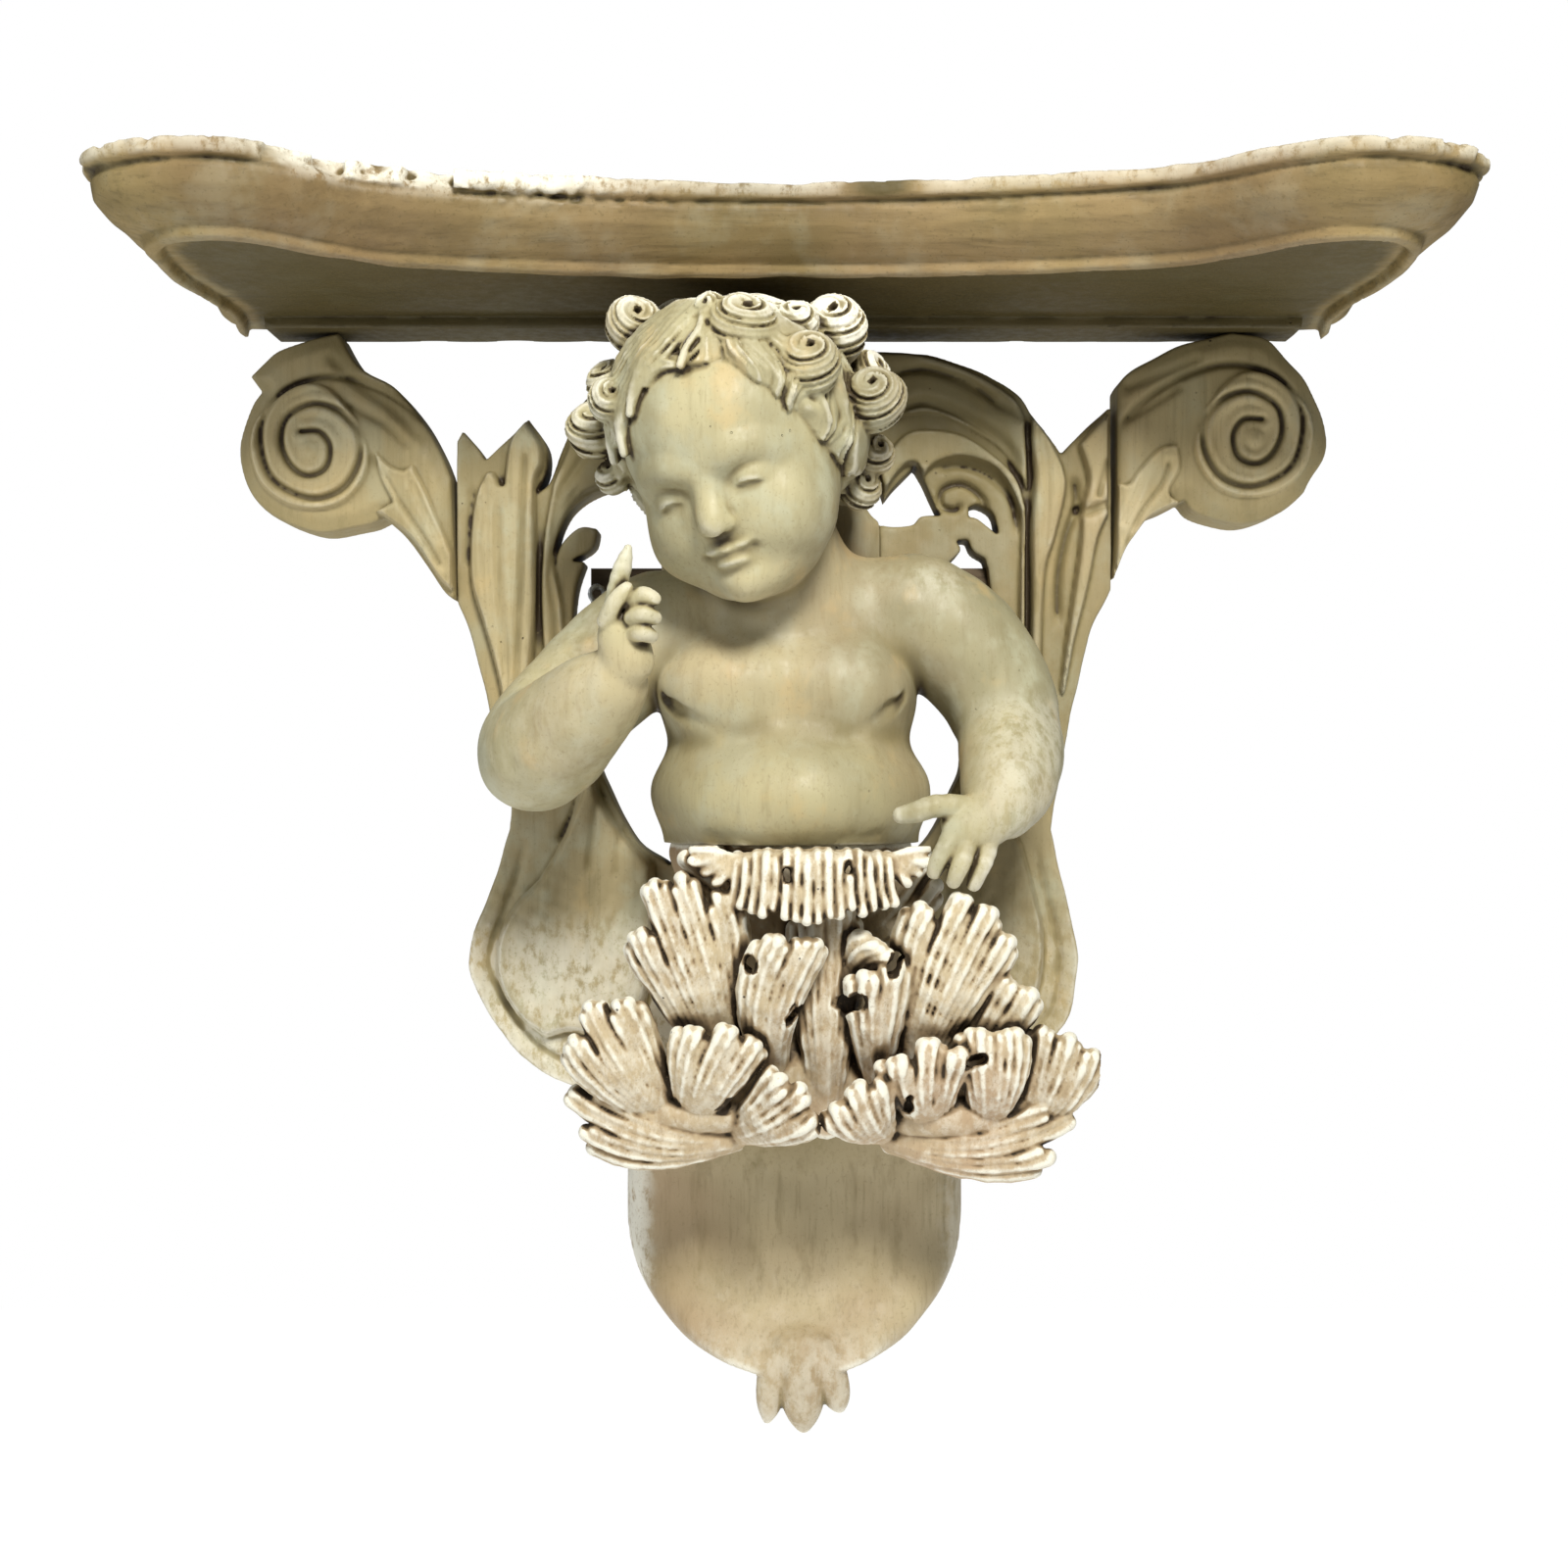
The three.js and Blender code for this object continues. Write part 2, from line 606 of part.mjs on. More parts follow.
// Keeps a plank to its side of a seam that is open at the top and closes at its foot.
function seamCut(side) {
  const seam = side * SEAM_X * acrossBoard;
  const foot = 120 * upBoard;
  const top = 300 * upBoard;
  const edge = [
    [seam - side * 60, foot - 40],
    [seam + side * JOINT_GAP, foot - 40],
    [seam + side * JOINT_GAP, foot],
    [seam + side * SEAM_GAP, foot + 90 * upBoard],
    [seam + side * SEAM_GAP, top],
    [seam - side * 60, top],
  ];
  return plate(edge.map((p) => new THREE.Vector2(...p)), -5, 90);
}

// The figure, drawn as [x, forward of the board, above the waist]

const HEAD_CENTRE = [-31, 108, 236];
const HEAD_TURN = [13, -24, -14]; // nod, turn to the viewer's left and tilt, in degrees
const HEAD_FORMS = [
  [0, -6, 12, 66, 72, 70],
  [0, 22, -24, 57, 51, 58],
  [29, 36, -40, 26, 25, 26],
  [-29, 36, -40, 26, 25, 26],
  [0, 28, -62, 32, 30, 20],
  [0, 26, 16, 56, 46, 40],
];
const FACE_FORMS = [
  [0, 54, -71, 14, 12, 11],
  [0, 76, -32, 7.5, 8, 6.5],
  [0, 69, -18, 5.5, 7, 15],
  [7, 70, -34, 5, 5, 4],
  [-7, 70, -34, 5, 5, 4],
  [0, 67, -49, 12, 6, 4],
  [0, 65, -56, 10, 6, 4.5],
  [23, 59, -13, 12, 7, 5.5],
  [-23, 59, -13, 12, 7, 5.5],
];
const TORSO = [
  [4, 50, -14, 82, 58],
  [4, 54, 2, 83, 58],
  [4, 60, 28, 86, 68],
  [3, 56, 54, 82, 62],
  [0, 56, 86, 82, 64],
  [2, 53, 112, 86, 58],
  [4, 50, 136, 86, 46],
  [2, 50, 154, 60, 40],
  [-2, 58, 172, 39, 36],
  [-14, 76, 196, 36, 36],
];
const CHEST_FORMS = [
  [-34, 78, 92, 46, 40, 33],
  [38, 76, 92, 44, 38, 31],
  [4, 76, 26, 68, 56, 36],
  [46, 44, 156, 44, 30, 20],
];
const HANGING_ARM = [
  [88, 50, 142, 36],
  [112, 50, 122, 35],
  [132, 52, 92, 32],
  [138, 62, 66, 30],
];
const HANGING_FOREARM = [
  [136, 60, 74, 27],
  [138, 76, 58, 29],
  [133, 98, 36, 27],
  [124, 114, 20, 19],
];
const RAISED_ARM = [
  [-82, 52, 130, 35],
  [-108, 62, 106, 34],
  [-138, 84, 72, 33],
  [-150, 98, 54, 33],
];
const RAISED_FOREARM = [
  [-150, 98, 52, 33],
  [-134, 120, 62, 32],
  [-112, 144, 80, 27],
  [-90, 162, 98, 18],
];
const HAND_FORMS = [
  [114, 124, 12, 22, 13, 17],
  [-86, 172, 122, 15, 12, 20],
];
const FINGERS = [
  [[102, 124, 18, 8], [86, 128, 22, 7], [70, 130, 18, 7]],
  [[98, 126, 6, 9], [92, 128, -4, 7.5], [87, 128, -14, 6.5]],
  [[110, 126, 2, 8], [103, 130, -10, 6.5], [96, 130, -19, 5.5]],
  [[122, 124, 0, 8], [117, 128, -12, 6.5], [110, 128, -22, 5.5]],
  [[-92, 174, 136, 8], [-92, 176, 148, 6], [-86, 176, 163, 4]],
  [[-82, 182, 132, 7.5], [-77, 186, 138, 6.5], [-75, 184, 142, 5.5]],
  [[-78, 182, 122, 7], [-71, 184, 126, 6], [-69, 178, 128, 5]],
  [[-80, 178, 112, 7], [-73, 178, 114, 6], [-70, 172, 114, 5]],
];
// Ringlets: [x, forward, up, radius], each a drilled ring that faces out from the head.
const CURLS = [
  [-90, 104, 304, 20],
  [-46, 132, 316, 13],
  [-22, 144, 302, 25],
  [14, 142, 285, 25],
  [33, 96, 309, 24],
  [49, 110, 266, 24],
  [-101, 134, 258, 19],
  [-115, 96, 264, 21],
  [-104, 88, 224, 16],
  [40, 88, 222, 18],
  [46, 74, 240, 18],
  [6, 122, 262, 14],
  [-66, 76, 324, 18],
  [-10, 76, 326, 19],
  [-112, 70, 292, 18],
];
// Locks that fan from the crown: where each starts and ends on the head, as turn and rise in
// degrees seen from the head's own front, and its thickness.
const LOCKS = [
  [[4, 72], [-8, 40], 11],
  [[-6, 72], [-26, 30], 11],
  [[-14, 70], [-44, 24], 12],
  [[-26, 68], [-62, 14], 13],
  [[-60, 64], [-80, 4], 13],
  [[14, 70], [16, 42], 12],
  [[30, 66], [40, 30], 12],
  [[60, 60], [62, 14], 13],
  [[90, 62], [80, -6], 13],
  [[-80, 62], [-94, -10], 13],
];

function headMatrix() {
  const [nod, turn, tilt] = HEAD_TURN.map(THREE.MathUtils.degToRad);
  return new THREE.Matrix4()
    .makeTranslation(HEAD_CENTRE[0], -HEAD_CENTRE[1], HEAD_CENTRE[2])
    .multiply(new THREE.Matrix4().makeRotationY(tilt))
    .multiply(new THREE.Matrix4().makeRotationZ(turn))
    .multiply(new THREE.Matrix4().makeRotationX(nod));
}

const moved = (solid, matrix) => solid.transform(matrix.elements.slice());

function makeLock([from, to, thick]) {
  const onHead = (share) => {
    const [turn, rise] = from.map((a, i) => THREE.MathUtils.degToRad(a + (to[i] - a) * share));
    const out = [Math.sin(turn) * Math.cos(rise), Math.cos(turn) * Math.cos(rise), Math.sin(rise)];
    return [out[0] * 67, out[1] * 70 - 2, out[2] * 72 + 12, thick * (1 - 0.45 * share)];
  };
  return limb([0, 0.35, 0.7, 1].map(onHead), { sides: 4, steps: 3 });
}

// A ringlet's section, from its drilled middle over the rim to its root in the hair.
const CURL_SECTION = [
  [0, -0.15],
  [0.34, 0.26],
  [0.72, 0.4],
  [1, 0],
  [0.86, -0.9],
  [0, -1.4],
];

function makeCurl([x, forward, up, radius]) {
  const centre = new THREE.Vector3(x, -forward, up);
  const away = centre.clone().sub(new THREE.Vector3(HEAD_CENTRE[0], 45 - HEAD_CENTRE[1], HEAD_CENTRE[2]));
  const profile = CURL_SECTION.map(([out, rise]) => new THREE.Vector2(out, rise).multiplyScalar(radius));
  const curl = new THREE.LatheGeometry(profile.reverse(), 8);
  const axis = new THREE.Vector3(0, 1, 0);
  curl.applyQuaternion(new THREE.Quaternion().setFromUnitVectors(axis, away.normalize()));
  curl.translate(centre.x, centre.y, centre.z);
  return solidOf(curl);
}

function placeOnBoard(solid) {
  const f = figureScale;
  return solid.scale([f, f, f]).translate([0, figureBack, waist]);
}

function makeHead() {
  const face = [...HEAD_FORMS.map((e) => egg(e, [12, 8])), ...FACE_FORMS.map((e) => egg(e, [7, 5]))];
  const hair = [egg([0, -16, 22, 72, 72, 69], [16, 10]), ...LOCKS.map(makeLock)];
  return moved(join([...face, ...hair]), headMatrix()).add(join(CURLS.map(makeCurl)));
}

function makeFigure() {
  const trunk = join([limb(TORSO, { sides: 14, steps: 9 }), ...CHEST_FORMS.map((e) => egg(e, [10, 7]))]);
  const big = 500;
  const cutAtWaist = trunk.subtract(box([-big, -big, -big], [big, big, 0]));
  const arms = [HANGING_ARM, HANGING_FOREARM, RAISED_ARM, RAISED_FOREARM].map((arm) =>
    limb(arm, { sides: 9, steps: 4, across: [0.2, 1, 0] }),
  );
  const hands = [
    ...HAND_FORMS.map((e) => egg(e, [8, 6])),
    ...FINGERS.map((finger) => limb(finger, { sides: 5, steps: 2, across: [0.3, 1, 0] })),
  ];
  const whole = join([cutAtWaist, makeHead(), ...arms, ...hands]);
  return placeOnBoard(whole.subtract(box([-big, 0, -big], [big, big, big])));
}

// The acanthus

const HIP_BLOCK = [
  [4, 40, 0, 84, 62],
  [5, 40, -30, 79, 58],
  [8, 38, -80, 62, 50],
  [12, 38, -130, 62, 48],
  [16, 42, -160, 74, 48],
  [18, 42, -176, 66, 40],
];
const SPRAY_MASSES = [
  [-56, 66, -160, 66, 46, 20],
  [104, 66, -162, 66, 46, 22],
];
// Leaves: base, middle and tip as [x, forward, up], then half width and count of flutes.
const LEAVES = [
  { base: [-30, 84, -150], middle: [-44, 146, -84], tip: [-64, 124, -26], half: 31, flutes: 4 },
  { base: [-8, 86, -150], middle: [-22, 146, -97], tip: [10, 134, -54], half: 19, flutes: 3 },
  { base: [26, 88, -176], middle: [28, 126, -100], tip: [28, 100, -36], half: 20, flutes: 4 },
  { base: [12, 84, -6], middle: [12, 150, 10], tip: [12, 136, -48], half: 66, flutes: 7 },
  { base: [6, 80, -64], middle: [-22, 108, -42], tip: [-56, 108, -6], half: 17, flutes: 3 },
  { base: [40, 80, -64], middle: [66, 104, -46], tip: [84, 96, -12], half: 17, flutes: 3 },
  { base: [74, 84, -150], middle: [84, 146, -84], tip: [106, 124, -40], half: 29, flutes: 4 },
  { base: [58, 86, -150], middle: [54, 138, -105], tip: [60, 128, -74], half: 16, flutes: 3 },
  { base: [40, 86, -92], middle: [40, 136, -60], tip: [56, 130, -66], half: 13, flutes: 3 },
  { base: [106, 82, -146], middle: [120, 124, -112], tip: [134, 116, -84], half: 15, flutes: 3 },
  { base: [-22, 84, -176], middle: [-81, 116, -182], tip: [-126, 92, -154], half: 22, flutes: 3 },
  { base: [-64, 84, -172], middle: [-88, 134, -140], tip: [-108, 112, -104], half: 25, flutes: 3 },
  { base: [-58, 84, -174], middle: [-53, 140, -138], tip: [-36, 122, -108], half: 24, flutes: 3 },
  { base: [-34, 84, -176], middle: [-12, 134, -160], tip: [8, 122, -144], half: 21, flutes: 3 },
  { base: [58, 84, -178], middle: [118, 116, -192], tip: [170, 92, -166], half: 22, flutes: 3 },
  { base: [92, 84, -176], middle: [80, 138, -146], tip: [83, 124, -121], half: 24, flutes: 3 },
  { base: [122, 84, -176], middle: [124, 136, -146], tip: [122, 120, -113], half: 19, flutes: 3 },
  { base: [143, 80, -176], middle: [160, 122, -153], tip: [166, 108, -118], half: 21, flutes: 3 },
  { base: [62, 84, -178], middle: [49, 136, -166], tip: [46, 122, -141], half: 21, flutes: 3 },
];
const LEAF_THICKNESS = 9;
const FLUTE_DEPTH = 2.6;

// A fluted leaf with a lobed margin, bent along base, middle and tip.
function makeLeaf({ base, middle, tip, half, flutes }) {
  const at = ([x, forward, up]) => new THREE.Vector3(x, -forward, up);
  const spine = new THREE.QuadraticBezierCurve3(at(base), at(middle), at(tip));
  const steps = 5;
  const front = 2 * flutes;
  const chord = at(tip).sub(at(base)).normalize();
  const side = new THREE.Vector3().crossVectors(new THREE.Vector3(0, -1, 0), chord).normalize();
  const rings = [];
  for (let i = 0; i <= steps; i++) {
    const t = i / steps;
    const centre = spine.getPoint(t);
    const face = new THREE.Vector3().crossVectors(spine.getTangent(t), side).normalize();
    const swell = 0.5 + 0.5 * THREE.MathUtils.smoothstep(t, 0, 0.6);
    const lobe = i % 2 === 0 && i > 1 ? 0.84 : 1;
    const round = Math.sqrt(Math.max(0.09, 1 - (Math.max(0, t - 0.6) / 0.4) ** 2.4));
    const reach = half * swell * lobe * round;
    const ring = [];
    for (let j = 0; j <= front; j++) {
      const s = (2 * j) / front - 1;
      const rise = (j % 2 ? FLUTE_DEPTH : 0) - 0.18 * half * s * s;
      ring.push(centre.clone().addScaledVector(side, s * reach).addScaledVector(face, rise));
    }
    for (const s of [0.6, 0, -0.6])
      ring.push(centre.clone().addScaledVector(side, s * reach).addScaledVector(face, -LEAF_THICKNESS));
    rings.push(ring);
  }
  const middleOf = (ring) =>
    ring.reduce((sum, p) => sum.add(p), new THREE.Vector3()).multiplyScalar(1 / ring.length);
  return solidOf(skin(rings, middleOf(rings[0]), middleOf(rings[steps])));
}

function makeAcanthus() {
  const block = limb(HIP_BLOCK, { sides: 14, steps: 6, flatEnds: true });
  const masses = SPRAY_MASSES.map((e) => egg(e, [10, 6]));
  const whole = placeOnBoard(join([block, ...masses, ...LEAVES.map(makeLeaf)]));
  const big = 600;
  const behind = box([-big, figureBack, -big], [big, big, big]);
  const aboveWaist = box([-big, figureBack - 118 * figureScale, waist - JOINT_GAP], [big, big, big]);
  const pendantRoom = box([-big, -PENDANT_TOP_DEPTH - 2 * JOINT_GAP, -big], [big, big, boardFoot + 2]);
  return whole.subtract(behind).subtract(aboveWaist).subtract(pendantRoom);
}

// The pendant

// From the top down: how far down, half width, depth share between the top and the lip.
const PENDANT_SECTIONS = [
  [0, 0.93, 0, 0],
  [0.2, 0.99, -0.35, 0],
  [0.4, 1, -0.5, 0],
  [0.58, 0.98, -0.3, 0],
  [0.73, 0.89, 0.15, 0.01],
  [0.87, 0.71, 0.7, 0.02],
  [0.95, 0.51, 1, 0.03],
  [1, 0.27, 0.92, 0.05],
];
const PENDANT_CENTRE = 7; // the carver set the drop a little right of the middle
const LEAF_TIPS = [
  [-22, 33, 12, 0.8],
  [1, 40, 15, 1],
  [23, 30, 12, 0.8],
];

function makePendant() {
  const top = boardFoot - JOINT_GAP;
  const count = 14;
  const rings = PENDANT_SECTIONS.map(([down, width, lip]) => {
    const reach = (width * PENDANT_WIDTH) / 2;
    const depth = PENDANT_TOP_DEPTH + lip * (PENDANT_LIP_DEPTH - PENDANT_TOP_DEPTH);
    const z = top - down * PENDANT_HEIGHT;
    const ring = [];
    for (let j = 0; j <= count; j++) {
      const turn = Math.PI * (j / count);
      const x = -reach * Math.cos(turn);
      const round = Math.abs(Math.sin(turn)) ** 0.35;
      ring.push(new THREE.Vector3(PENDANT_CENTRE + x, -depth * round, z));
    }
    ring[0].y = 0;
    ring[count].y = 0;
    return ring;
  });
  const body = levelSolid(rings);
  const foot = top - PENDANT_HEIGHT;
  const tips = LEAF_TIPS.map(([x, drop, half, share]) => {
    const length = (drop / 40) * LEAF_TIP_LENGTH;
    const y = PENDANT_LIP_DEPTH * 0.62;
    return limb(
      [
        [PENDANT_CENTRE + x * 0.6, y, foot + 22, half * 0.8, 16 * share],
        [PENDANT_CENTRE + x, y + 5, foot - 0.3 * length, half, 14 * share],
        [PENDANT_CENTRE + x * 1.05, y + 2, foot - length + half * 0.5, half * 0.45, 6 * share],
      ],
      { sides: 10, steps: 5 },
    );
  });
  return join([body, ...tips]);
}

// The assembled corbel

const WOOD = { color: 0xb5a37c, roughness: 0.72, metalness: 0 };
const finishes = {
  bleachedWood: new THREE.MeshStandardMaterial(WOOD),
  shelfWood: new THREE.MeshStandardMaterial({ ...WOOD, color: 0xa08a62 }),
  limedWood: new THREE.MeshStandardMaterial({ ...WOOD, color: 0xc9bd9c }),
  darkWood: new THREE.MeshStandardMaterial({ ...WOOD, color: 0x3a3122 }),
  zinc: new THREE.MeshStandardMaterial({ color: 0x8c9296, roughness: 0.45, metalness: 0.8 }),
};

const corbel = new THREE.Group();
function addPiece(name, solid, finish) {
  const mesh = new THREE.Mesh(geometryOf(solid), finish);
  mesh.name = name;
  corbel.add(mesh);
}

addPiece("shelf", makeShelf(), finishes.shelfWood);
addPiece("backboard", makeBoard(), finishes.bleachedWood);
addPiece("volute_left", makeWing(WING_LEFT, VOLUTE_LEFT, HUSK_LEFT, -1), finishes.bleachedWood);
addPiece("volute_right", makeWing(WING_RIGHT, VOLUTE_RIGHT, HUSK_RIGHT, 1), finishes.bleachedWood);
addPiece("rear_batten", makeBatten(), finishes.darkWood);
addPiece("hanging_eye", makeEye(), finishes.zinc);
addPiece("putto", makeFigure(), finishes.bleachedWood);
addPiece("acanthus", makeAcanthus(), finishes.limedWood);
addPiece("pendant", makePendant(), finishes.bleachedWood);

export default corbel;
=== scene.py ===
import functools
import math

import bmesh
import bpy
import numpy as np
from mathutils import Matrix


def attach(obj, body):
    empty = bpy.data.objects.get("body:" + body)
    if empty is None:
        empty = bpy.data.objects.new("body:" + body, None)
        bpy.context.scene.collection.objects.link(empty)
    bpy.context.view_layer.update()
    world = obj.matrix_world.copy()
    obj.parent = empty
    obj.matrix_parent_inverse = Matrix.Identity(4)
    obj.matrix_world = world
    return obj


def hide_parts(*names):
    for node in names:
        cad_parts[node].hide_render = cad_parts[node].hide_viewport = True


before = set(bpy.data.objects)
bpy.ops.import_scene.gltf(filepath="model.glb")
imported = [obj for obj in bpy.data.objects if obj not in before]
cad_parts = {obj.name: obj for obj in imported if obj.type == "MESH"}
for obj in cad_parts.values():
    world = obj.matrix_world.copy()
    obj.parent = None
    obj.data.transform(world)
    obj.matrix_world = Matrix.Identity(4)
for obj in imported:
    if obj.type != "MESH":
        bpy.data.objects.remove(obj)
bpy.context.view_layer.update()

# A carved and bleached wooden corbel. Every carving is built here as a field of distances on a
# grid, in millimetres, and its surface is then taken off as a mesh. X runs to the viewer's
# right, Y into the wall and Z up.

MM = 0.001
FAR = 60.0  # what a cell holds that no form has come near
REACH = 9.0  # how far around a form its distances are kept, for the dirt and painted shade in the hollows
OUTLINE_STEPS = 5  # steps from one given point of an outline to the next

# Sizes shared with the solids
SHELF_WIDTH = 776.0
SHELF_DEPTH = 181.0
CORNER_REACH = 77.0
SHELF_THICKNESS = 50.0
SHELF_BOTTOM = 296.3
BOARD_THICKNESS = 28.0
CARVING_HEIGHT = 12.0
BOARD_FRONT = BOARD_THICKNESS + CARVING_HEIGHT
BOARD_FOOT = -209.0
SEAM_X = 215.0
JOINT_GAP = 0.3
PENDANT_HEIGHT = 166.0
PENDANT_WIDTH = 224.0
PENDANT_CENTRE = 7.0
PENDANT_TOP_DEPTH = 62.0
PENDANT_LIP_DEPTH = 86.0
FIGURE_BACK = BOARD_FRONT + JOINT_GAP
WAIST = -36.0
FIGURE_SCALE = (SHELF_BOTTOM + 8.0 - 7.0 - WAIST) / 332.0


# Distance fields

class Field:
    """A block of cells that holds the distance to a solid, negative inside."""

    def __init__(self, low, high, cell):
        self.cell = float(cell)
        self.low = np.array(low, np.float32)
        self.count = np.ceil((np.array(high) - self.low) / cell).astype(int) + 1
        self.value = np.full(self.count, FAR, np.float32)

    def block(self, low, high):
        first = np.maximum(np.floor((np.array(low) - self.low) / self.cell).astype(int), 0)
        last = np.minimum(np.ceil((np.array(high) - self.low) / self.cell).astype(int) + 1, self.count)
        if np.any(last - first < 2):
            return None, None
        axes = [self.low[i] + self.cell * np.arange(first[i], last[i], dtype=np.float32) for i in range(3)]
        points = np.meshgrid(*axes, indexing="ij", sparse=True)
        return tuple(slice(a, b) for a, b in zip(first, last)), points

    def places(self):
        return self.block(self.low, self.low + self.cell * self.count)[1]

    def cut_to(self, gap):
        """Takes off all that lies outside, where the gap is above nought."""
        self.value = np.maximum(self.value, gap).astype(np.float32)

    def apply(self, form, low, high, blend, cut=False):
        pad = REACH + blend
        where, points = self.block(np.array(low) - pad, np.array(high) + pad)
        if where is None:
            return
        old = self.value[where]
        new = form(*points)
        if cut:
            self.value[where] = -smooth_min(-old, new, blend)
        else:
            self.value[where] = smooth_min(old, new, blend)

    def sample(self, points):
        at = (points - self.low) / self.cell
        at = np.clip(at, 0, self.count - 1.001)
        base = at.astype(int)
        share = at - base
        total = np.zeros(len(points), np.float32)
        for corner in range(8):
            step = np.array([corner & 1, corner >> 1 & 1, corner >> 2 & 1])
            weight = np.prod(np.where(step, share, 1 - share), axis=1)
            i, j, k = (base + step).T
            total += weight * self.value[i, j, k]
        return total


def smooth_min(a, b, blend):
    if blend <= 0:
        return np.minimum(a, b)
    mix = np.maximum(blend - np.abs(a - b), 0) / blend
    return np.minimum(a, b) - mix * mix * blend * 0.25


def smooth_max(a, b, blend):
    return -smooth_min(-a, -b, blend)


def smooth_step(value, low, high):
    share = np.clip((value - low) / (high - low), 0, 1)
    return share * share * (3 - 2 * share)


def box(places, low, high):
    """How far places lie outside a box, negative inside; a side given as None is open."""
    gaps = [side - place for place, side in zip(places, low) if side is not None]
    gaps += [place - side for place, side in zip(places, high) if side is not None]
    return functools.reduce(np.maximum, gaps)


def from_wall(p):
    """Places given as x, forward of the wall, up, in the scene's own axes."""
    return p * np.array([1, -1, 1])


def from_figure(p):
    """Places given as x, forward of the board, above the waist, in the scene's own axes."""
    return p * FIGURE_SCALE * np.array([1, -1, 1]) + np.array([0, -FIGURE_BACK, WAIST])


def in_figure(world):
    """Places of a finished piece, given back as x, forward of the board, above the waist."""
    return (world - np.array([0, -FIGURE_BACK, WAIST])) / FIGURE_SCALE * np.array([1, -1, 1])


def surface(field):
    """Vertices and quads of the field's zero surface, one vertex in each cell that it crosses."""
    d = field.value
    inside = d < 0
    total = np.zeros(np.array(d.shape) - 1, np.int8)
    for corner in range(8):
        a, b, c = corner & 1, corner >> 1 & 1, corner >> 2 & 1
        total += inside[a:d.shape[0] - 1 + a, b:d.shape[1] - 1 + b, c:d.shape[2] - 1 + c]
    active = np.nonzero((total > 0) & (total < 8))
    number = np.full(total.shape, -1, np.int32)
    number[active] = np.arange(len(active[0]))
    cells = np.stack(active, 1)
    corners = np.array([[n & 1, n >> 1 & 1, n >> 2 & 1] for n in range(8)])
    value = np.stack([d[tuple((cells + c).T)] for c in corners], 1)
    place = np.zeros((len(cells), 3), np.float32)
    hits = np.zeros(len(cells), np.float32)
    for p in range(8):
        for q in (p | 1, p | 2, p | 4):
            if q == p:
                continue
            crossed = (value[:, p] < 0) != (value[:, q] < 0)
            gap = np.where(crossed, value[:, p] - value[:, q], 1)
            share = np.where(crossed, value[:, p] / gap, 0)[:, None]
            place += np.where(crossed[:, None], corners[p] + share * (corners[q] - corners[p]), 0)
            hits += crossed
    verts = field.low + field.cell * (cells + place / hits[:, None])
    quads = []
    for axis in range(3):
        ahead = [slice(None)] * 3
        behind = [slice(None)] * 3
        ahead[axis] = slice(1, None)
        behind[axis] = slice(None, -1)
        crossing = inside[tuple(behind)] != inside[tuple(ahead)]
        edges = np.stack(np.nonzero(crossing), 1)
        u, v = [i for i in range(3) if i != axis]
        keep = (edges[:, u] > 0) & (edges[:, v] > 0)
        keep &= (edges[:, u] < d.shape[u] - 1) & (edges[:, v] < d.shape[v] - 1)
        edges = edges[keep]
        ring = []
        for du, dv in ((1, 1), (0, 1), (0, 0), (1, 0)):
            at = edges.copy()
            at[:, u] -= du
            at[:, v] -= dv
            ring.append(number[tuple(at.T)])
        ring = np.stack(ring, 1)
        forward = inside[tuple(edges.T)]
        if axis == 1:
            forward = ~forward
        quads.append(np.where(forward[:, None], ring, ring[:, ::-1]))
    return verts, np.concatenate(quads)


# Forms

def egg(centre, half):
    """An ellipsoid's distance and box."""
    c = np.array(centre, np.float32)
    r = np.array(half, np.float32)

    def form(x, y, z):
        px, py, pz = x - c[0], y - c[1], z - c[2]
        near = np.sqrt((px / r[0]) ** 2 + (py / r[1]) ** 2 + (pz / r[2]) ** 2)
        slope = np.sqrt((px / r[0] ** 2) ** 2 + (py / r[1] ** 2) ** 2 + (pz / r[2] ** 2) ** 2)
        return near * (near - 1) / np.maximum(slope, 1e-5)

    return form, c - r, c + r


def cone(a, b, ra, rb):
    """A rounded cone from one ball to another."""
    a, b = np.array(a, np.float32), np.array(b, np.float32)
    way = b - a
    square = max(float(way @ way), 1e-6)

    def form(x, y, z):
        px, py, pz = x - a[0], y - a[1], z - a[2]
        t = np.clip((px * way[0] + py * way[1] + pz * way[2]) / square, 0, 1)
        off = np.sqrt((px - t * way[0]) ** 2 + (py - t * way[1]) ** 2 + (pz - t * way[2]) ** 2)
        return off - (ra + (rb - ra) * t)

    big = max(ra, rb)
    return form, np.minimum(a, b) - big, np.maximum(a, b) + big


def spline(points, count):
    """Points along a smooth curve through the given ones; extra columns are carried along."""
    p = np.array(points, float)
    if len(p) == 2:
        return p[0] + (p[1] - p[0]) * np.linspace(0, 1, count)[:, None]
    ends = np.vstack([2 * p[0] - p[1], p, 2 * p[-1] - p[-2]])
    t = np.linspace(0, len(p) - 1, count)
    i = np.minimum(t.astype(int), len(p) - 2)
    f = (t - i)[:, None]
    a, b, c, d = ends[i], ends[i + 1], ends[i + 2], ends[i + 3]
    square, cube = 2 * a - 5 * b + 4 * c - d, 3 * b - a - 3 * c + d
    return 0.5 * (2 * b + (c - a) * f + square * f ** 2 + cube * f ** 3)


def tube(field, points, blend, first_blend=None, cut=False):
    """Rounded cones along points that are rows of x, y, z and radius."""
    for i in range(len(points) - 1):
        a, b = points[i], points[i + 1]
        form, low, high = cone(a[:3], b[:3], a[3], b[3])
        field.apply(form, low, high, blend if i or first_blend is None else first_blend, cut)


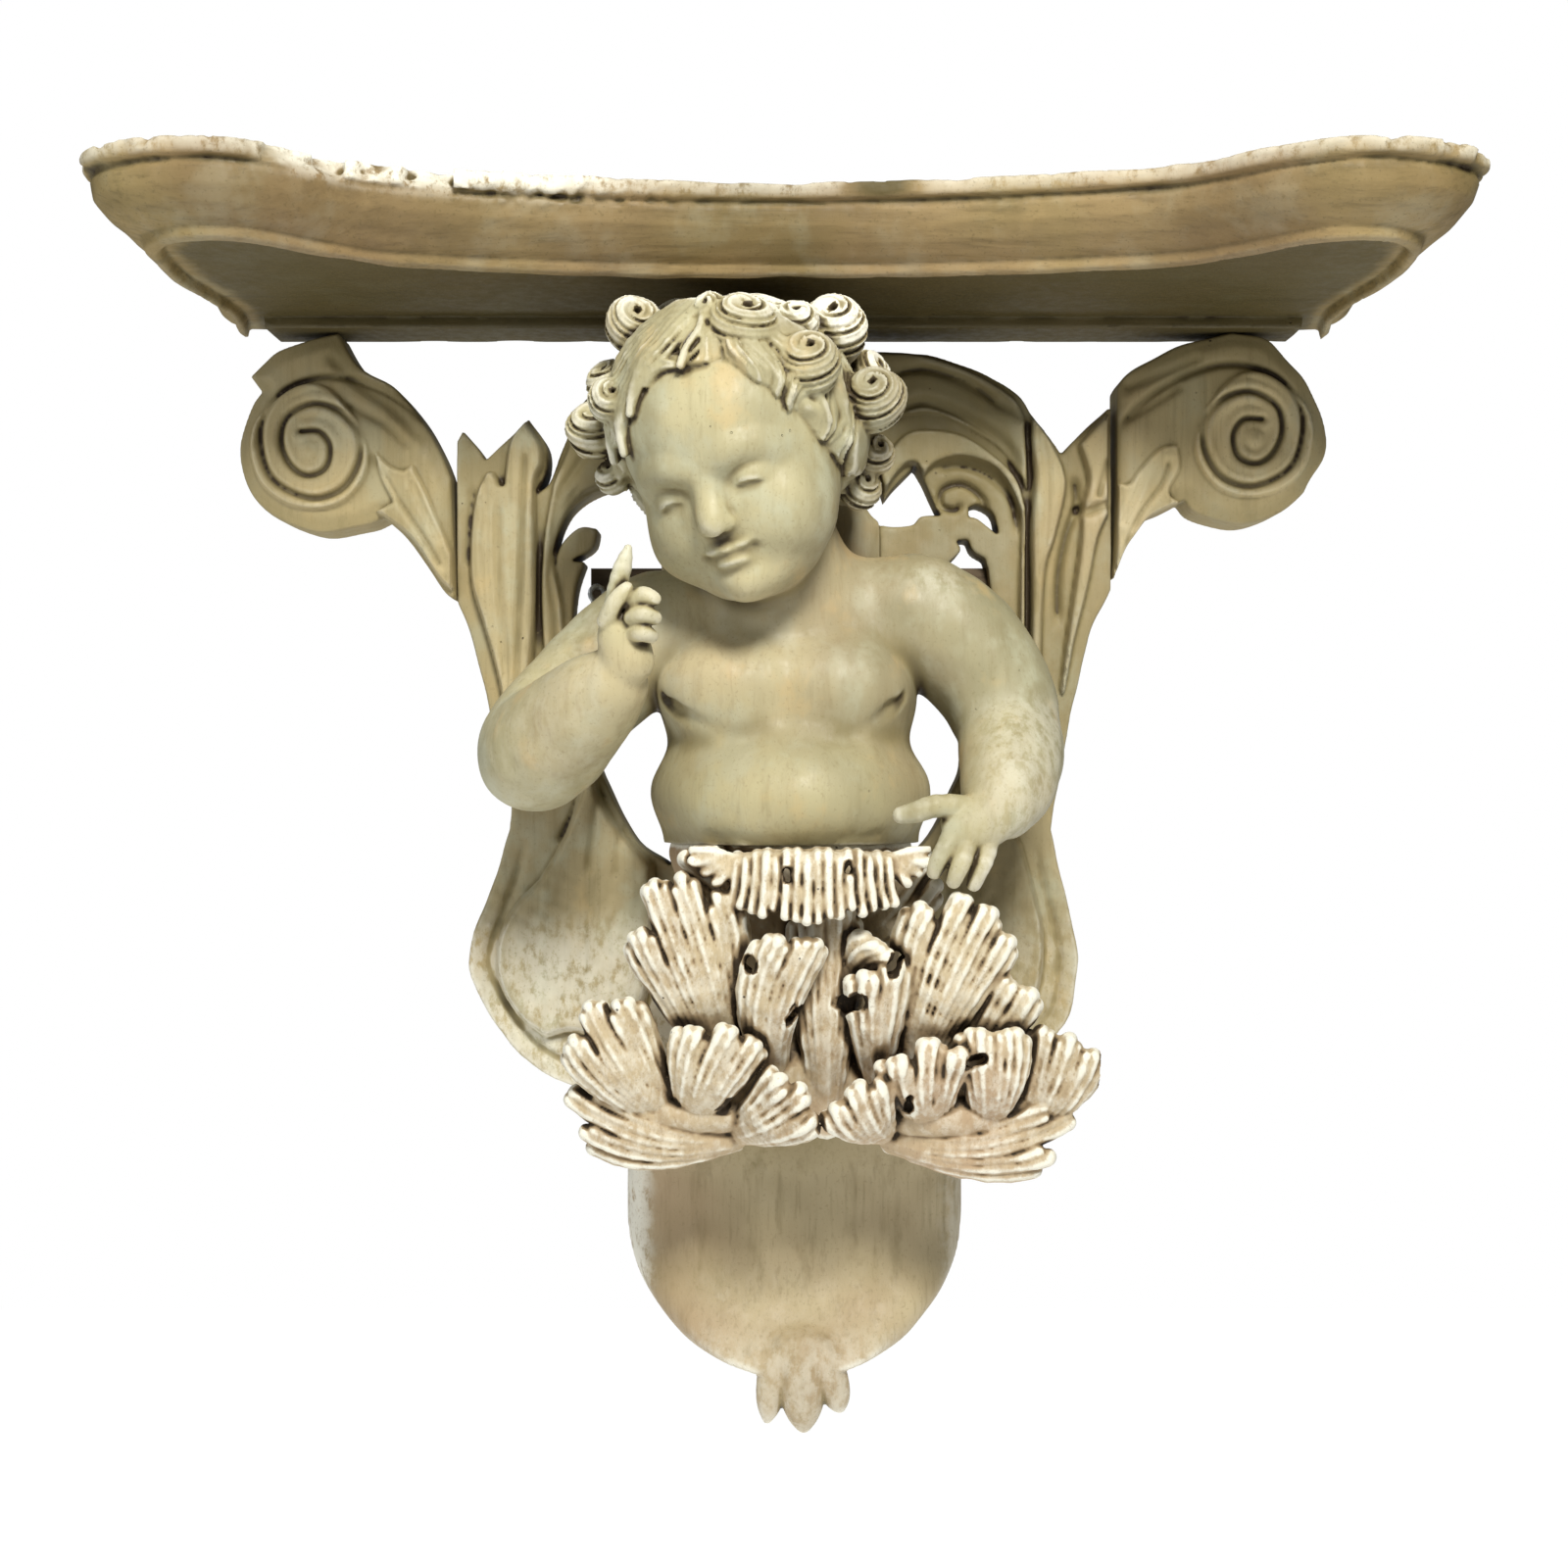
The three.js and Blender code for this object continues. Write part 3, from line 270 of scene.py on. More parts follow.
def rotation(nod, turn, tilt):
    cx, sx = math.cos(nod), math.sin(nod)
    cz, sz = math.cos(turn), math.sin(turn)
    cy, sy = math.cos(tilt), math.sin(tilt)
    about_x = np.array([[1, 0, 0], [0, cx, -sx], [0, sx, cx]])
    about_z = np.array([[cz, -sz, 0], [sz, cz, 0], [0, 0, 1]])
    about_y = np.array([[cy, 0, sy], [0, 1, 0], [-sy, 0, cy]])
    return about_y @ about_z @ about_x


def polygon_distance(points, x, z):
    """Signed distance to a closed outline, negative inside, over a flat grid."""
    p = np.array(points, np.float32)
    q = np.roll(p, -1, axis=0)
    gap = np.full(np.broadcast(x, z).shape, 1e9, np.float32)
    inside = np.zeros(gap.shape, bool)
    for (ax, az), (bx, bz) in zip(p, q):
        wx, wz = bx - ax, bz - az
        square = wx * wx + wz * wz
        if square < 1e-8:
            continue
        t = np.clip(((x - ax) * wx + (z - az) * wz) / square, 0, 1)
        gap = np.minimum(gap, (x - ax - t * wx) ** 2 + (z - az - t * wz) ** 2)
        crosses = (az > z) != (bz > z)
        side = (x - ax) * wz - (z - az) * wx
        inside ^= crosses & ((side < 0) == (wz > 0))
    gap = np.sqrt(gap)
    return np.where(inside, -gap, gap)


def line_distance(points, x, z):
    """Distance to an open line over a flat grid, and how far along it the nearest point lies."""
    p = np.array(points, np.float32)
    gap = np.full(np.broadcast(x, z).shape, 1e9, np.float32)
    along = np.zeros(gap.shape, np.float32)
    for i in range(len(p) - 1):
        (ax, az), (bx, bz) = p[i][:2], p[i + 1][:2]
        wx, wz = bx - ax, bz - az
        square = max(wx * wx + wz * wz, 1e-8)
        t = np.clip(((x - ax) * wx + (z - az) * wz) / square, 0, 1)
        new = (x - ax - t * wx) ** 2 + (z - az - t * wz) ** 2
        closer = new < gap
        gap = np.where(closer, new, gap)
        along = np.where(closer, (i + t) / (len(p) - 1), along)
    return np.sqrt(gap), along


def outline(runs):
    """A closed outline from runs of points: smooth along a run, with a corner between runs."""
    points = []
    for run in runs:
        placed = np.array(run, float)
        along = placed if len(placed) < 3 else spline(placed, OUTLINE_STEPS * (len(placed) - 1) + 1)
        points.extend(along.tolist())
    kept = [points[0]]
    for p in points[1:]:
        if math.dist(p, kept[-1]) > 0.05:
            kept.append(p)
    if math.dist(kept[0], kept[-1]) < 0.05:
        kept.pop()
    return kept


def waves(seed, length, count=7):
    """Smooth unevenness of about unit size, as a function of place in millimetres."""
    rng = np.random.default_rng(seed)
    ways = rng.normal(size=(count, 3))
    ways /= np.linalg.norm(ways, axis=1)[:, None]
    ways *= (2 * math.pi / length) * rng.uniform(0.6, 1.5, count)[:, None]
    phases = rng.uniform(0, 2 * math.pi, count)

    def value(x, y, z):
        total = 0
        for (a, b, c), phase in zip(ways, phases):
            total = total + np.sin(a * x + b * y + c * z + phase)
        return total * (1.2 / count ** 0.5)

    return value


# Meshes

CRUMB_SHARE = 0.02  # loose bits with fewer than this share of a piece's vertices are dropped
OPEN_STEPS = (1.5, 3.5, 7.5)  # how far out the air is felt for, to tell a groove from open wood
NEAR_HOLLOW = 3.2
BROAD_HOLLOW = 9.0


def make_piece(name, field, node, material, to_world, limit, marks):
    """Takes a field's surface off as a piece, with its hollows and marks kept as attributes."""
    verts, quads = surface(field)
    world = to_world(verts)
    mesh = bpy.data.meshes.new(name)
    mesh.from_pydata((world * MM).tolist(), [], quads.tolist())
    mesh.update()
    values = surface_marks(field, verts, quads)
    values.update(marks(world))
    if "drilled" in values:
        values["groove"] = np.maximum(values["groove"], values.pop("drilled"))
    for key, value in values.items():
        layer = mesh.attributes.new(key, "FLOAT", "POINT")
        layer.data.foreach_set("value", np.ascontiguousarray(value, np.float32))
    piece = bpy.data.objects.new(name, mesh)
    bpy.context.collection.objects.link(piece)
    drop_crumbs(piece)
    faces = 2 * len(piece.data.polygons)
    if faces > limit:
        shrink = piece.modifiers.new("shrink", "DECIMATE")
        shrink.ratio = limit / faces
        apply_modifiers(piece)
    piece.data.shade_smooth()
    piece.data.materials.append(material)
    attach(piece, "root")
    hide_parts(node)


def apply_modifiers(piece):
    graph = bpy.context.evaluated_depsgraph_get()
    done = bpy.data.meshes.new_from_object(piece.evaluated_get(graph))
    old = piece.data
    piece.modifiers.clear()
    piece.data = done
    bpy.data.meshes.remove(old)


def drop_crumbs(piece):
    """Removes the loose crumbs that a noisy cut leaves beside the main body."""
    mesh = piece.data
    count = len(mesh.vertices)
    edges = np.empty(2 * len(mesh.edges), np.int32)
    mesh.edges.foreach_get("vertices", edges)
    edges = edges.reshape(-1, 2)
    label = np.arange(count)
    while True:
        low = np.minimum(label[edges[:, 0]], label[edges[:, 1]])
        new = label.copy()
        np.minimum.at(new, edges[:, 0], low)
        np.minimum.at(new, edges[:, 1], low)
        new = new[new]
        if np.array_equal(new, label):
            break
        label = new
    names, sizes = np.unique(label, return_counts=True)
    small = names[sizes < CRUMB_SHARE * count]
    if len(small):
        bm = bmesh.new()
        bm.from_mesh(mesh)
        bm.verts.ensure_lookup_table()
        doomed = np.nonzero(np.isin(label, small))[0]
        bmesh.ops.delete(bm, geom=[bm.verts[i] for i in doomed], context="VERTS")
        bm.to_mesh(mesh)
        bm.free()


def blurred(block, reach):
    """A box blur of a block of cells, over reach cells each way."""
    for axis in range(3):
        wide = [(0, 0)] * 3
        wide[axis] = (reach + 1, reach)
        sums = np.cumsum(np.pad(block, wide, mode="edge"), axis=axis, dtype=np.float64)
        ahead, behind = [slice(None)] * 3, [slice(None)] * 3
        ahead[axis], behind[axis] = slice(2 * reach + 1, None), slice(None, -2 * reach - 1)
        block = ((sums[tuple(ahead)] - sums[tuple(behind)]) / (2 * reach + 1)).astype(np.float32)
    return block


def evened(value, quads):
    """A vertex value averaged over the faces around, so that narrow cuts read as lines, not as dots."""
    share = np.zeros(len(value))
    np.add.at(share, quads.ravel(), 1.0)
    for _ in range(2):
        sums = np.zeros(len(value))
        np.add.at(sums, quads.ravel(), np.repeat(value[quads].mean(axis=1), 4))
        value = sums / np.maximum(share, 1)
    return value


def surface_marks(field, verts, quads):
    """Values for each vertex: how deep in a groove or in a broad hollow, and how sharp an edge."""
    a, b, c, d = (verts[quads[:, i]] for i in range(4))
    normal = np.cross(c - a, d - b)
    sums = np.zeros_like(verts)
    for i in range(4):
        np.add.at(sums, quads[:, i], normal)
    sums /= np.maximum(np.linalg.norm(sums, axis=1), 1e-9)[:, None]
    open_share = np.zeros(len(verts), np.float32)
    for step in OPEN_STEPS:
        open_share += np.clip(field.sample(verts + sums * step) / step, 0, 1) / len(OPEN_STEPS)
    groove = np.clip(1.3 * (1 - open_share), 0, 1)
    kept = field.value
    solid = np.clip(0.5 - kept / (2 * field.cell), 0, 1)
    field.value = blurred(solid, max(2, round(NEAR_HOLLOW / field.cell)))
    near = field.sample(verts) * 2 - 1
    coarse = Field(field.low, field.low + 1, 3 * field.cell)
    coarse.value = np.ascontiguousarray(blurred(solid, 1)[::3, ::3, ::3])
    coarse.count = np.array(coarse.value.shape)
    coarse.value = blurred(blurred(coarse.value, max(2, round(BROAD_HOLLOW / coarse.cell))), 2)
    broad = coarse.sample(verts + sums * 2) * 2 - 1
    field.value = kept
    return {
        "groove": evened(np.clip(np.maximum(groove, 2.0 * near), 0, 1), quads),
        "hollow": np.clip(1.9 * broad + 0.22, 0, 1),
        "edge": evened(np.clip(-2.1 * near, 0, 1), quads),
    }


# Materials

def node_tree(name):
    material = bpy.data.materials.new(name)
    material.use_nodes = True
    return material, material.node_tree.nodes, material.node_tree.links


class Palette:
    """Small helpers to write a material's node tree as sums and mixes."""

    def __init__(self, name):
        self.material, self.nodes, self.links = node_tree(name)
        self.place = self.nodes.new("ShaderNodeTexCoord").outputs["Object"]

    def noise(self, scale, stretch=(1, 1, 1), detail=4, rough=0.6, shift=(0, 0, 0)):
        mapping = self.nodes.new("ShaderNodeMapping")
        mapping.inputs["Scale"].default_value = stretch
        mapping.inputs["Location"].default_value = shift
        self.links.new(self.place, mapping.inputs["Vector"])
        node = self.nodes.new("ShaderNodeTexNoise")
        node.inputs["Scale"].default_value = scale
        node.inputs["Detail"].default_value = detail
        node.inputs["Roughness"].default_value = rough
        self.links.new(mapping.outputs[0], node.inputs["Vector"])
        return node.outputs["Fac"]

    def holes(self, scale):
        node = self.nodes.new("ShaderNodeTexVoronoi")
        node.inputs["Scale"].default_value = scale
        self.links.new(self.place, node.inputs["Vector"])
        return node.outputs["Distance"]

    def attribute(self, name):
        node = self.nodes.new("ShaderNodeAttribute")
        node.attribute_name = name
        return node.outputs["Fac"]

    def ramp(self, value, low, high, first=0.0, last=1.0):
        node = self.nodes.new("ShaderNodeMapRange")
        node.interpolation_type = "SMOOTHSTEP"
        for key, number in zip(("From Min", "From Max", "To Min", "To Max"), (low, high, first, last)):
            node.inputs[key].default_value = number
        self.links.new(value, node.inputs["Value"])
        return node.outputs["Result"]

    def math(self, operation, a, b):
        node = self.nodes.new("ShaderNodeMath")
        node.operation = operation
        for socket, value in zip(node.inputs, (a, b)):
            if isinstance(value, (int, float)):
                socket.default_value = value
            else:
                self.links.new(value, socket)
        return node.outputs[0]

    def mix(self, share, a, b):
        node = self.nodes.new("ShaderNodeMix")
        node.data_type = "RGBA"
        for socket, value in zip((node.inputs["Factor"], node.inputs[6], node.inputs[7]), (share, a, b)):
            if isinstance(value, tuple):
                socket.default_value = (*value, 1)
            elif isinstance(value, (int, float)):
                socket.default_value = value
            else:
                self.links.new(value, socket)
        return node.outputs[2]

    def bump(self, height, distance, strength=1.0, after=None):
        node = self.nodes.new("ShaderNodeBump")
        node.inputs["Distance"].default_value = distance
        node.inputs["Strength"].default_value = strength
        self.links.new(height, node.inputs["Height"])
        if after is not None:
            self.links.new(after, node.inputs["Normal"])
        return node.outputs[0]

    def finish(self, colour, roughness, normal):
        shader = self.nodes["Principled BSDF"]
        self.links.new(colour, shader.inputs["Base Color"])
        self.links.new(roughness, shader.inputs["Roughness"])
        self.links.new(normal, shader.inputs["Normal"])
        shader.inputs["Specular IOR Level"].default_value = 0.28
        return self.material


OLIVE = (0.2, 0.16, 0.07)
UMBER = (0.035, 0.022, 0.01)
PINK_BROWN = (0.36, 0.2, 0.12)
SAGE = (0.42, 0.42, 0.3)
HONEY = (0.5, 0.36, 0.16)
GESSO_AND_HIGHLIGHT = (0.74, 0.71, 0.6)


def carved_wood(name, light, middle, dark=OLIVE, grain=(70, 70, 5), gesso=0.25, grime_and_shade=1.0, blush=0.25,
                rough=0.6, wear_and_edge_highlight=0.7, figure=1.0, dirt_and_shade=1.0, mottle=0.0, worms=0.85):
    """Bleached wood: streaky grain, dirt and painted shade in the hollows, worn pale edges that also serve
    as painted edge highlights, and remains of gesso with painted highlights.
    """
    p = Palette(name)
    groove, hollow, edge = p.attribute("groove"), p.attribute("hollow"), p.attribute("edge")
    white, stain = p.attribute("gesso"), p.attribute("stain")
    groove = p.math("MULTIPLY", groove, dirt_and_shade)
    streaks = p.noise(1.0, grain, detail=5, rough=0.65)
    lines = p.noise(1.0, tuple(4.2 * g for g in grain), detail=3, rough=0.6, shift=(1, 4, 2))
    clouds = p.noise(7.0, (1, 1, 0.7), detail=4, rough=0.55)
    fine = p.noise(130.0, (1, 1, 0.6), detail=4, rough=0.7, shift=(3, 1, 2))
    specks = p.noise(520.0, detail=2, rough=0.5)
    tone = p.mix(p.ramp(clouds, 0.34, 0.66), light, middle)
    tone = p.mix(p.math("MULTIPLY", p.ramp(streaks, 0.5, 0.74), 0.5 * figure), tone, dark)
    tone = p.mix(p.math("MULTIPLY", p.ramp(lines, 0.52, 0.7), 0.3 * figure), tone, dark)
    patches = p.noise(24.0, (1, 1, 0.8), detail=4, rough=0.6, shift=(8, 3, 6))
    tone = p.mix(p.math("MULTIPLY", p.ramp(patches, 0.48, 0.66), mottle), tone, SAGE)
    tone = p.mix(p.math("MULTIPLY", p.ramp(patches, 0.44, 0.3), 0.8 * mottle), tone, HONEY)
    red = p.noise(5.0, detail=3, rough=0.5, shift=(5, 9, 1))
    tone = p.mix(p.math("MULTIPLY", p.ramp(red, 0.48, 0.68), blush), tone, PINK_BROWN)
    # Stains, and painted shade and shadow where the piece's marks call for them
    tone = p.mix(p.math("MULTIPLY", stain, 0.85), tone, dark)
    # Painted shade, with some dirt, in the broad hollows
    tone = p.mix(p.math("MULTIPLY", p.ramp(hollow, 0.3, 0.95), 0.7 * grime_and_shade), tone, dark)
    # Gesso left on the raised parts, with painted highlights where the marks call for them, and pale worn
    # edges that also serve as painted edge highlights
    patchy = p.math("ADD", p.ramp(fine, 0.42, 0.64), p.math("MULTIPLY", p.ramp(clouds, 0.42, 0.6), 0.5))
    left = p.math("MULTIPLY", white, p.ramp(fine, 0.26, 0.52))
    left = p.math("ADD", left, p.math("MULTIPLY", patchy, gesso))
    left = p.math("ADD", left, p.math("MULTIPLY", p.ramp(edge, 0.12, 0.6), wear_and_edge_highlight))
    left = p.math("MULTIPLY", left, p.ramp(groove, 0.62, 0.2))
    tone = p.mix(p.ramp(left, 0.1, 1.0), tone, GESSO_AND_HIGHLIGHT)
    # Dirt and painted shade in the cuts, darkest at the bottom of a cut
    tone = p.mix(p.math("MULTIPLY", p.ramp(groove, 0.26, 0.6), 0.7 * grime_and_shade), tone, dark)
    tone = p.mix(p.math("MULTIPLY", p.ramp(groove, 0.5, 0.92), 0.92 * grime_and_shade), tone, UMBER)
    wormy = p.ramp(p.noise(6.0, shift=(2, 7, 4)), 0.56, 0.6)
    worm = p.math("MULTIPLY", p.ramp(p.holes(95.0), 0.085, 0.05), wormy)
    tone = p.mix(p.math("MULTIPLY", worm, worms), tone, UMBER)
    tone = p.mix(p.math("MULTIPLY", p.ramp(specks, 0.6, 0.72), 0.3), tone, dark)
    rough_value = p.ramp(fine, 0.3, 0.7, rough - 0.1, rough + 0.15)
    normal = p.bump(streaks, 0.0008, 0.5)
    normal = p.bump(lines, 0.0003, 0.5, normal)
    normal = p.bump(fine, 0.0006, 0.45, normal)
    normal = p.bump(p.math("SUBTRACT", 1.0, worm), 0.0015, 0.8, normal)
    return p.finish(tone, rough_value, normal)


# The figure, in its own places: x, forward of the board, above the waist

HEAD_CENTRE = np.array([-25.0, -108.0, 233.0])
HEAD_TURN = rotation(math.radians(13), math.radians(-24), math.radians(-14))


def head_places(x, forward, up):
    """Places beside the figure's others, given back as x, forward, up on the head."""
    r = HEAD_TURN
    dx, dy, dz = x - HEAD_CENTRE[0], -forward - HEAD_CENTRE[1], up - HEAD_CENTRE[2]
    lx, ly, lz = (r[0, i] * dx + r[1, i] * dy + r[2, i] * dz for i in range(3))
    return lx.astype(np.float32), (-ly).astype(np.float32), lz.astype(np.float32)


def on_head(form, low, high):
    """Turns a form drawn in the head's own places (x, forward, up) to where the head is."""
    far = float(np.linalg.norm(high - low)) / 2
    middle = head_point((low + high) / 2)
    return lambda x, forward, up: form(*head_places(x, forward, up)), middle - far, middle + far


def head_point(p):
    """A place on the head, given as x, forward, up, as a place beside the figure's others."""
    x, y, z = HEAD_TURN @ np.array([p[0], -p[1], p[2]]) + HEAD_CENTRE
    return np.array([x, -y, z])


def head_egg(field, centre, half, blend, cut=False):
    field.apply(*on_head(*egg(centre, half)), blend, cut)


def head_tube(field, points, blend, cut=False):
    rows = [[*head_point(p[:3]), p[3]] for p in points]
    tube(field, rows, blend, cut=cut)


def lidded_eye(field, side):
    """A ball between a lowered upper lid and a soft lower lid."""
    cx = side * 23.5
    field.apply(*on_head(*egg((cx, 53.5, -14.0), (11.6, 12.0, 10.5))), 2)

    def upper(x):
        return -14.6 - 0.034 * (x - cx) ** 2

    def lower(x):
        return -20.6 + 0.02 * (x - cx) ** 2

    for half, above in (((14.8, 14.6, 13.4), True), ((13.6, 13.4, 12.4), False)):
        lid, low, high = egg((cx, 53.5, -13.4), half)

        def clipped(x, y, z, lid=lid, above=above):
            edge = (upper(x) - z) if above else (z - lower(x))
            return smooth_max(lid(x, y, z), edge, 1.2)

        field.apply(*on_head(clipped, low, high), 2.0)


def carve_face(field):
    head_egg(field, (0, -6, 12), (66, 72, 70), 10)
    head_egg(field, (0, 20, -24), (56, 50, 57), 14)
    head_egg(field, (0, 30, 22), (50, 43, 40), 18)
    for side in (-1, 1):
        head_egg(field, (side * 29, 37, -38), (25, 25, 25), 16)
        head_egg(field, (side * 23.5, 76, -11), (16, 10.5, 9.5), 9, cut=True)
        brow = [[side * x, y, z, 3.6] for x, y, z in ((8, 66, -1), (19, 66, 4), (31, 59, 3), (40, 50, -3))]
        head_tube(field, spline(brow, 7), 11)
        lidded_eye(field, side)
    head_egg(field, (0, 32, -66), (30, 27, 16), 14)
    head_egg(field, (0, 53, -69), (14, 13, 11), 11)
    bridge = [[0, 64, -2, 5], [0, 68, -16, 5.2], [0, 73, -27, 6.0], [0, 75, -31.5, 6.0]]
    head_tube(field, spline(bridge, 7), 7)
    for side in (-1, 1):
        head_egg(field, (side * 7.2, 69, -33), (4.2, 5.2, 4.0), 4)
        head_egg(field, (side * 3.8, 74, -38.2), (1.7, 3, 1.3), 1.0, cut=True)
        head_egg(field, (side * 5.6, 63.6, -46.8), (9.6, 6.2, 3.4), 4)
        head_egg(field, (side * 15.5, 65.5, -50.4), (1.8, 2.4, 1.5), 4, cut=True)
    head_egg(field, (0, 65.2, -48.0), (4.0, 5.6, 3.0), 3)
    head_egg(field, (0, 63.6, -55.0), (10.0, 6.2, 4.2), 4)
    slit = [[-14.5, 64.5, -50.2, 0.8], [-7, 69.2, -51.4, 1.1], [0, 70.4, -50.8, 1.1], [7, 69.2, -51.4, 1.1],
            [14.5, 64.5, -50.2, 0.8]]
    head_tube(field, spline(slit, 11), 1.2, cut=True)
    head_egg(field, (0, 73.4, -41.4), (1.9, 3, 3.0), 4, cut=True)
    head_egg(field, (0, 70.5, -62), (8, 4, 2.0), 6, cut=True)
    for side in (-1, 1):
        head_egg(field, (side * 62, -4, -14), (7, 12, 18), 4)
        head_egg(field, (side * 68, -1, -12), (4, 7, 11), 4, cut=True)


SKULL_CENTRE = np.array([0.0, -3.0, 14.0])
SKULL_HALF = np.array([67.0, 75.0, 70.0])


# The hairline: turn from the face, and the rise at which the hair ends there, in degrees
HAIRLINE = [
    (-180, -58), (-125, -48), (-95, -34), (-75, -14), (-55, 2), (-42, 10), (-32, 19), (-20, 31), (-8, 36),
    (8, 37), (20, 35), (32, 28), (42, 16), (52, 0), (62, -14), (80, -34), (110, -48), (180, -58),
]
HAIR_DEPTH = 5.0
LOCK_LIFT = 5.5  # how far the overlying locks stand above the skull
LOCK_TIP_DROP = 0.4
LOCK_STEPS = 11


def carve_hair_cap(field):
    """Combed hair over the skull: fine strands that turn as they come down, in locks with pointed ends."""
    far = float(max(SKULL_HALF)) + 16
    where, places = field.block(head_point(SKULL_CENTRE) - far, head_point(SKULL_CENTRE) + far)
    x, forward, up = head_places(*places)
    skull = egg(SKULL_CENTRE, SKULL_HALF)[0](x, forward, up)
    ex, ef, eu = ((p - c) / h for p, c, h in zip((x, forward, up), SKULL_CENTRE, SKULL_HALF))
    rise = np.degrees(np.arctan2(eu, np.hypot(ex, ef)))
    turn = np.degrees(np.arctan2(ex, ef))
    sweep = 1.0 - 0.65 * smooth_step(turn, -15, 25) - 0.5 * smooth_step(-turn, 70, 120)
    strand = np.radians(turn + sweep * (90 - rise)) + 0.07 * waves(61, 36)(x, forward, up)
    lock = 0.65 * (0.5 + 0.5 * np.cos(25 * strand)) + 0.35 * (0.5 + 0.5 * np.cos(16 * strand + 1))
    fine = 0.5 + 0.5 * np.cos(96 * strand)
    turns, rises = zip(*HAIRLINE)
    within = (rise - np.interp(turn, turns, rises)) * 1.22 + 8.0 * lock - 4.0
    spread = smooth_step(90 - rise, 8, 34)
    depth = 0.5 + HAIR_DEPTH * smooth_step(within, 0, 15) + spread * (2.4 * lock + 1.7 * fine)
    skin = field.value[where]
    hair = np.maximum(smooth_max(skin - depth, -within, 2.5), skull - 12)
    field.value[where] = np.minimum(skin, hair).astype(np.float32)


def head_surface(turn, rise, lift):
    """A place over the hair, by turn from the face and rise from level, in degrees."""
    t, r = math.radians(turn), math.radians(rise)
    out = np.array([math.sin(t) * math.cos(r), math.cos(t) * math.cos(r), math.sin(r)])
    return SKULL_CENTRE + out * (SKULL_HALF + lift)


def comb_lock(field, angles, width):
    """A combed lock of hair: fine strands side by side that draw together at the tip."""
    path = spline(angles, LOCK_STEPS)
    share = np.linspace(0, 1, LOCK_STEPS)
    lifts = LOCK_LIFT - LOCK_TIP_DROP * share ** 3
    centre = np.array([head_surface(t, r, lift) for (t, r), lift in zip(path, lifts)])
    ahead = np.gradient(centre, axis=0)
    out = centre - np.array([0, -10, 10])
    across = np.cross(ahead, out)
    across /= np.linalg.norm(across, axis=1)[:, None]
    out /= np.linalg.norm(out, axis=1)[:, None]
    swell = 0.5 + 0.5 * np.sin(np.pi * np.minimum(1, share * 1.1))
    spread = width * swell * (1 - 0.8 * smooth_step(share, 0.62, 1))
    body = np.minimum(0.36 * spread, 5.0) * (1 - 0.3 * share)
    head_tube(field, np.column_stack([centre - out * 2.5, body]), 1.5)
    strands = max(3, round(width / 3.5))
    for i in range(strands):
        s = 2 * i / (strands - 1) - 1
        radius = 2.3 * (1 - 0.3 * share) * (1 - 0.12 * abs(s)) + 0.35 * (i % 2)
        crown = (1 - s * s) * 2.4
        rows = centre + across * (s * spread / 2)[:, None] + out * crown
        head_tube(field, np.column_stack([rows, radius]), 1.0)


def ringlet(field, place, radius, axis, hand):
    """A rolled curl: strands that wind out from a drilled eye, over the rim and down the side."""
    centre = np.array(place, float)
    away = np.array(axis, float) / np.linalg.norm(axis)
    side = np.cross(away, [0, 0, 1.0])
    side /= np.linalg.norm(side)
    over = np.cross(side, away)
    phase = 0.7 * place[0] + 0.3 * place[2]
    top = 0.62 * radius
    pitch = 4.7 + 0.02 * radius

    def roll(x, forward, up):
        off_centre = (x - centre[0], forward - centre[1], up - centre[2])
        along, a, b = (sum(p * w for p, w in zip(off_centre, way)) for way in (away, side, over))
        angle = np.arctan2(b, a)
        off = np.sqrt(a * a + b * b + 0.01)
        barrel = 1 - 0.3 * ((along + 0.15 * radius) / radius) ** 2
        wall = off / (1 + 0.07 * np.cos(angle - phase)) - radius * barrel
        dish = 0.3 * radius * np.exp(-((off / (0.36 * radius)) ** 2))
        face = along - top + dish + 0.3 * off * off / radius - 0.12 * off * np.cos(angle + phase)
        run = 2 * math.pi * (np.maximum(top - along, 0) + off)
        wound = run / pitch - 2 * hand * angle + 0.9 * np.sin(2 * angle + phase)
        slow = np.cos(run / (2.9 * pitch) - hand * angle)
        cut = (0.5 + 0.5 * np.cos(wound)) * (0.9 + 0.5 * slow)
        cut = cut * smooth_step(off, 0.08 * radius, 0.35 * radius)
        body = smooth_max(wall, face, 0.8 * radius) + 2.0 * cut
        return smooth_max(body, -along - 1.2 * radius, 4)

    field.apply(roll, centre - 1.35 * radius, centre + 1.35 * radius, 2.0)
    eye = ringlet_eye(place, radius)
    hole = [[*(eye - away * radius * 0.25), radius * 0.07], [*(eye + away * radius), radius * 0.13]]
    tube(field, np.array(hole), 1.0, cut=True)


def ringlet_eye(place, radius):
    """Where a ringlet's drilled eye lies."""
    return np.array(place, float) + 0.1 * radius * np.array([0.6, 0, 0.8])


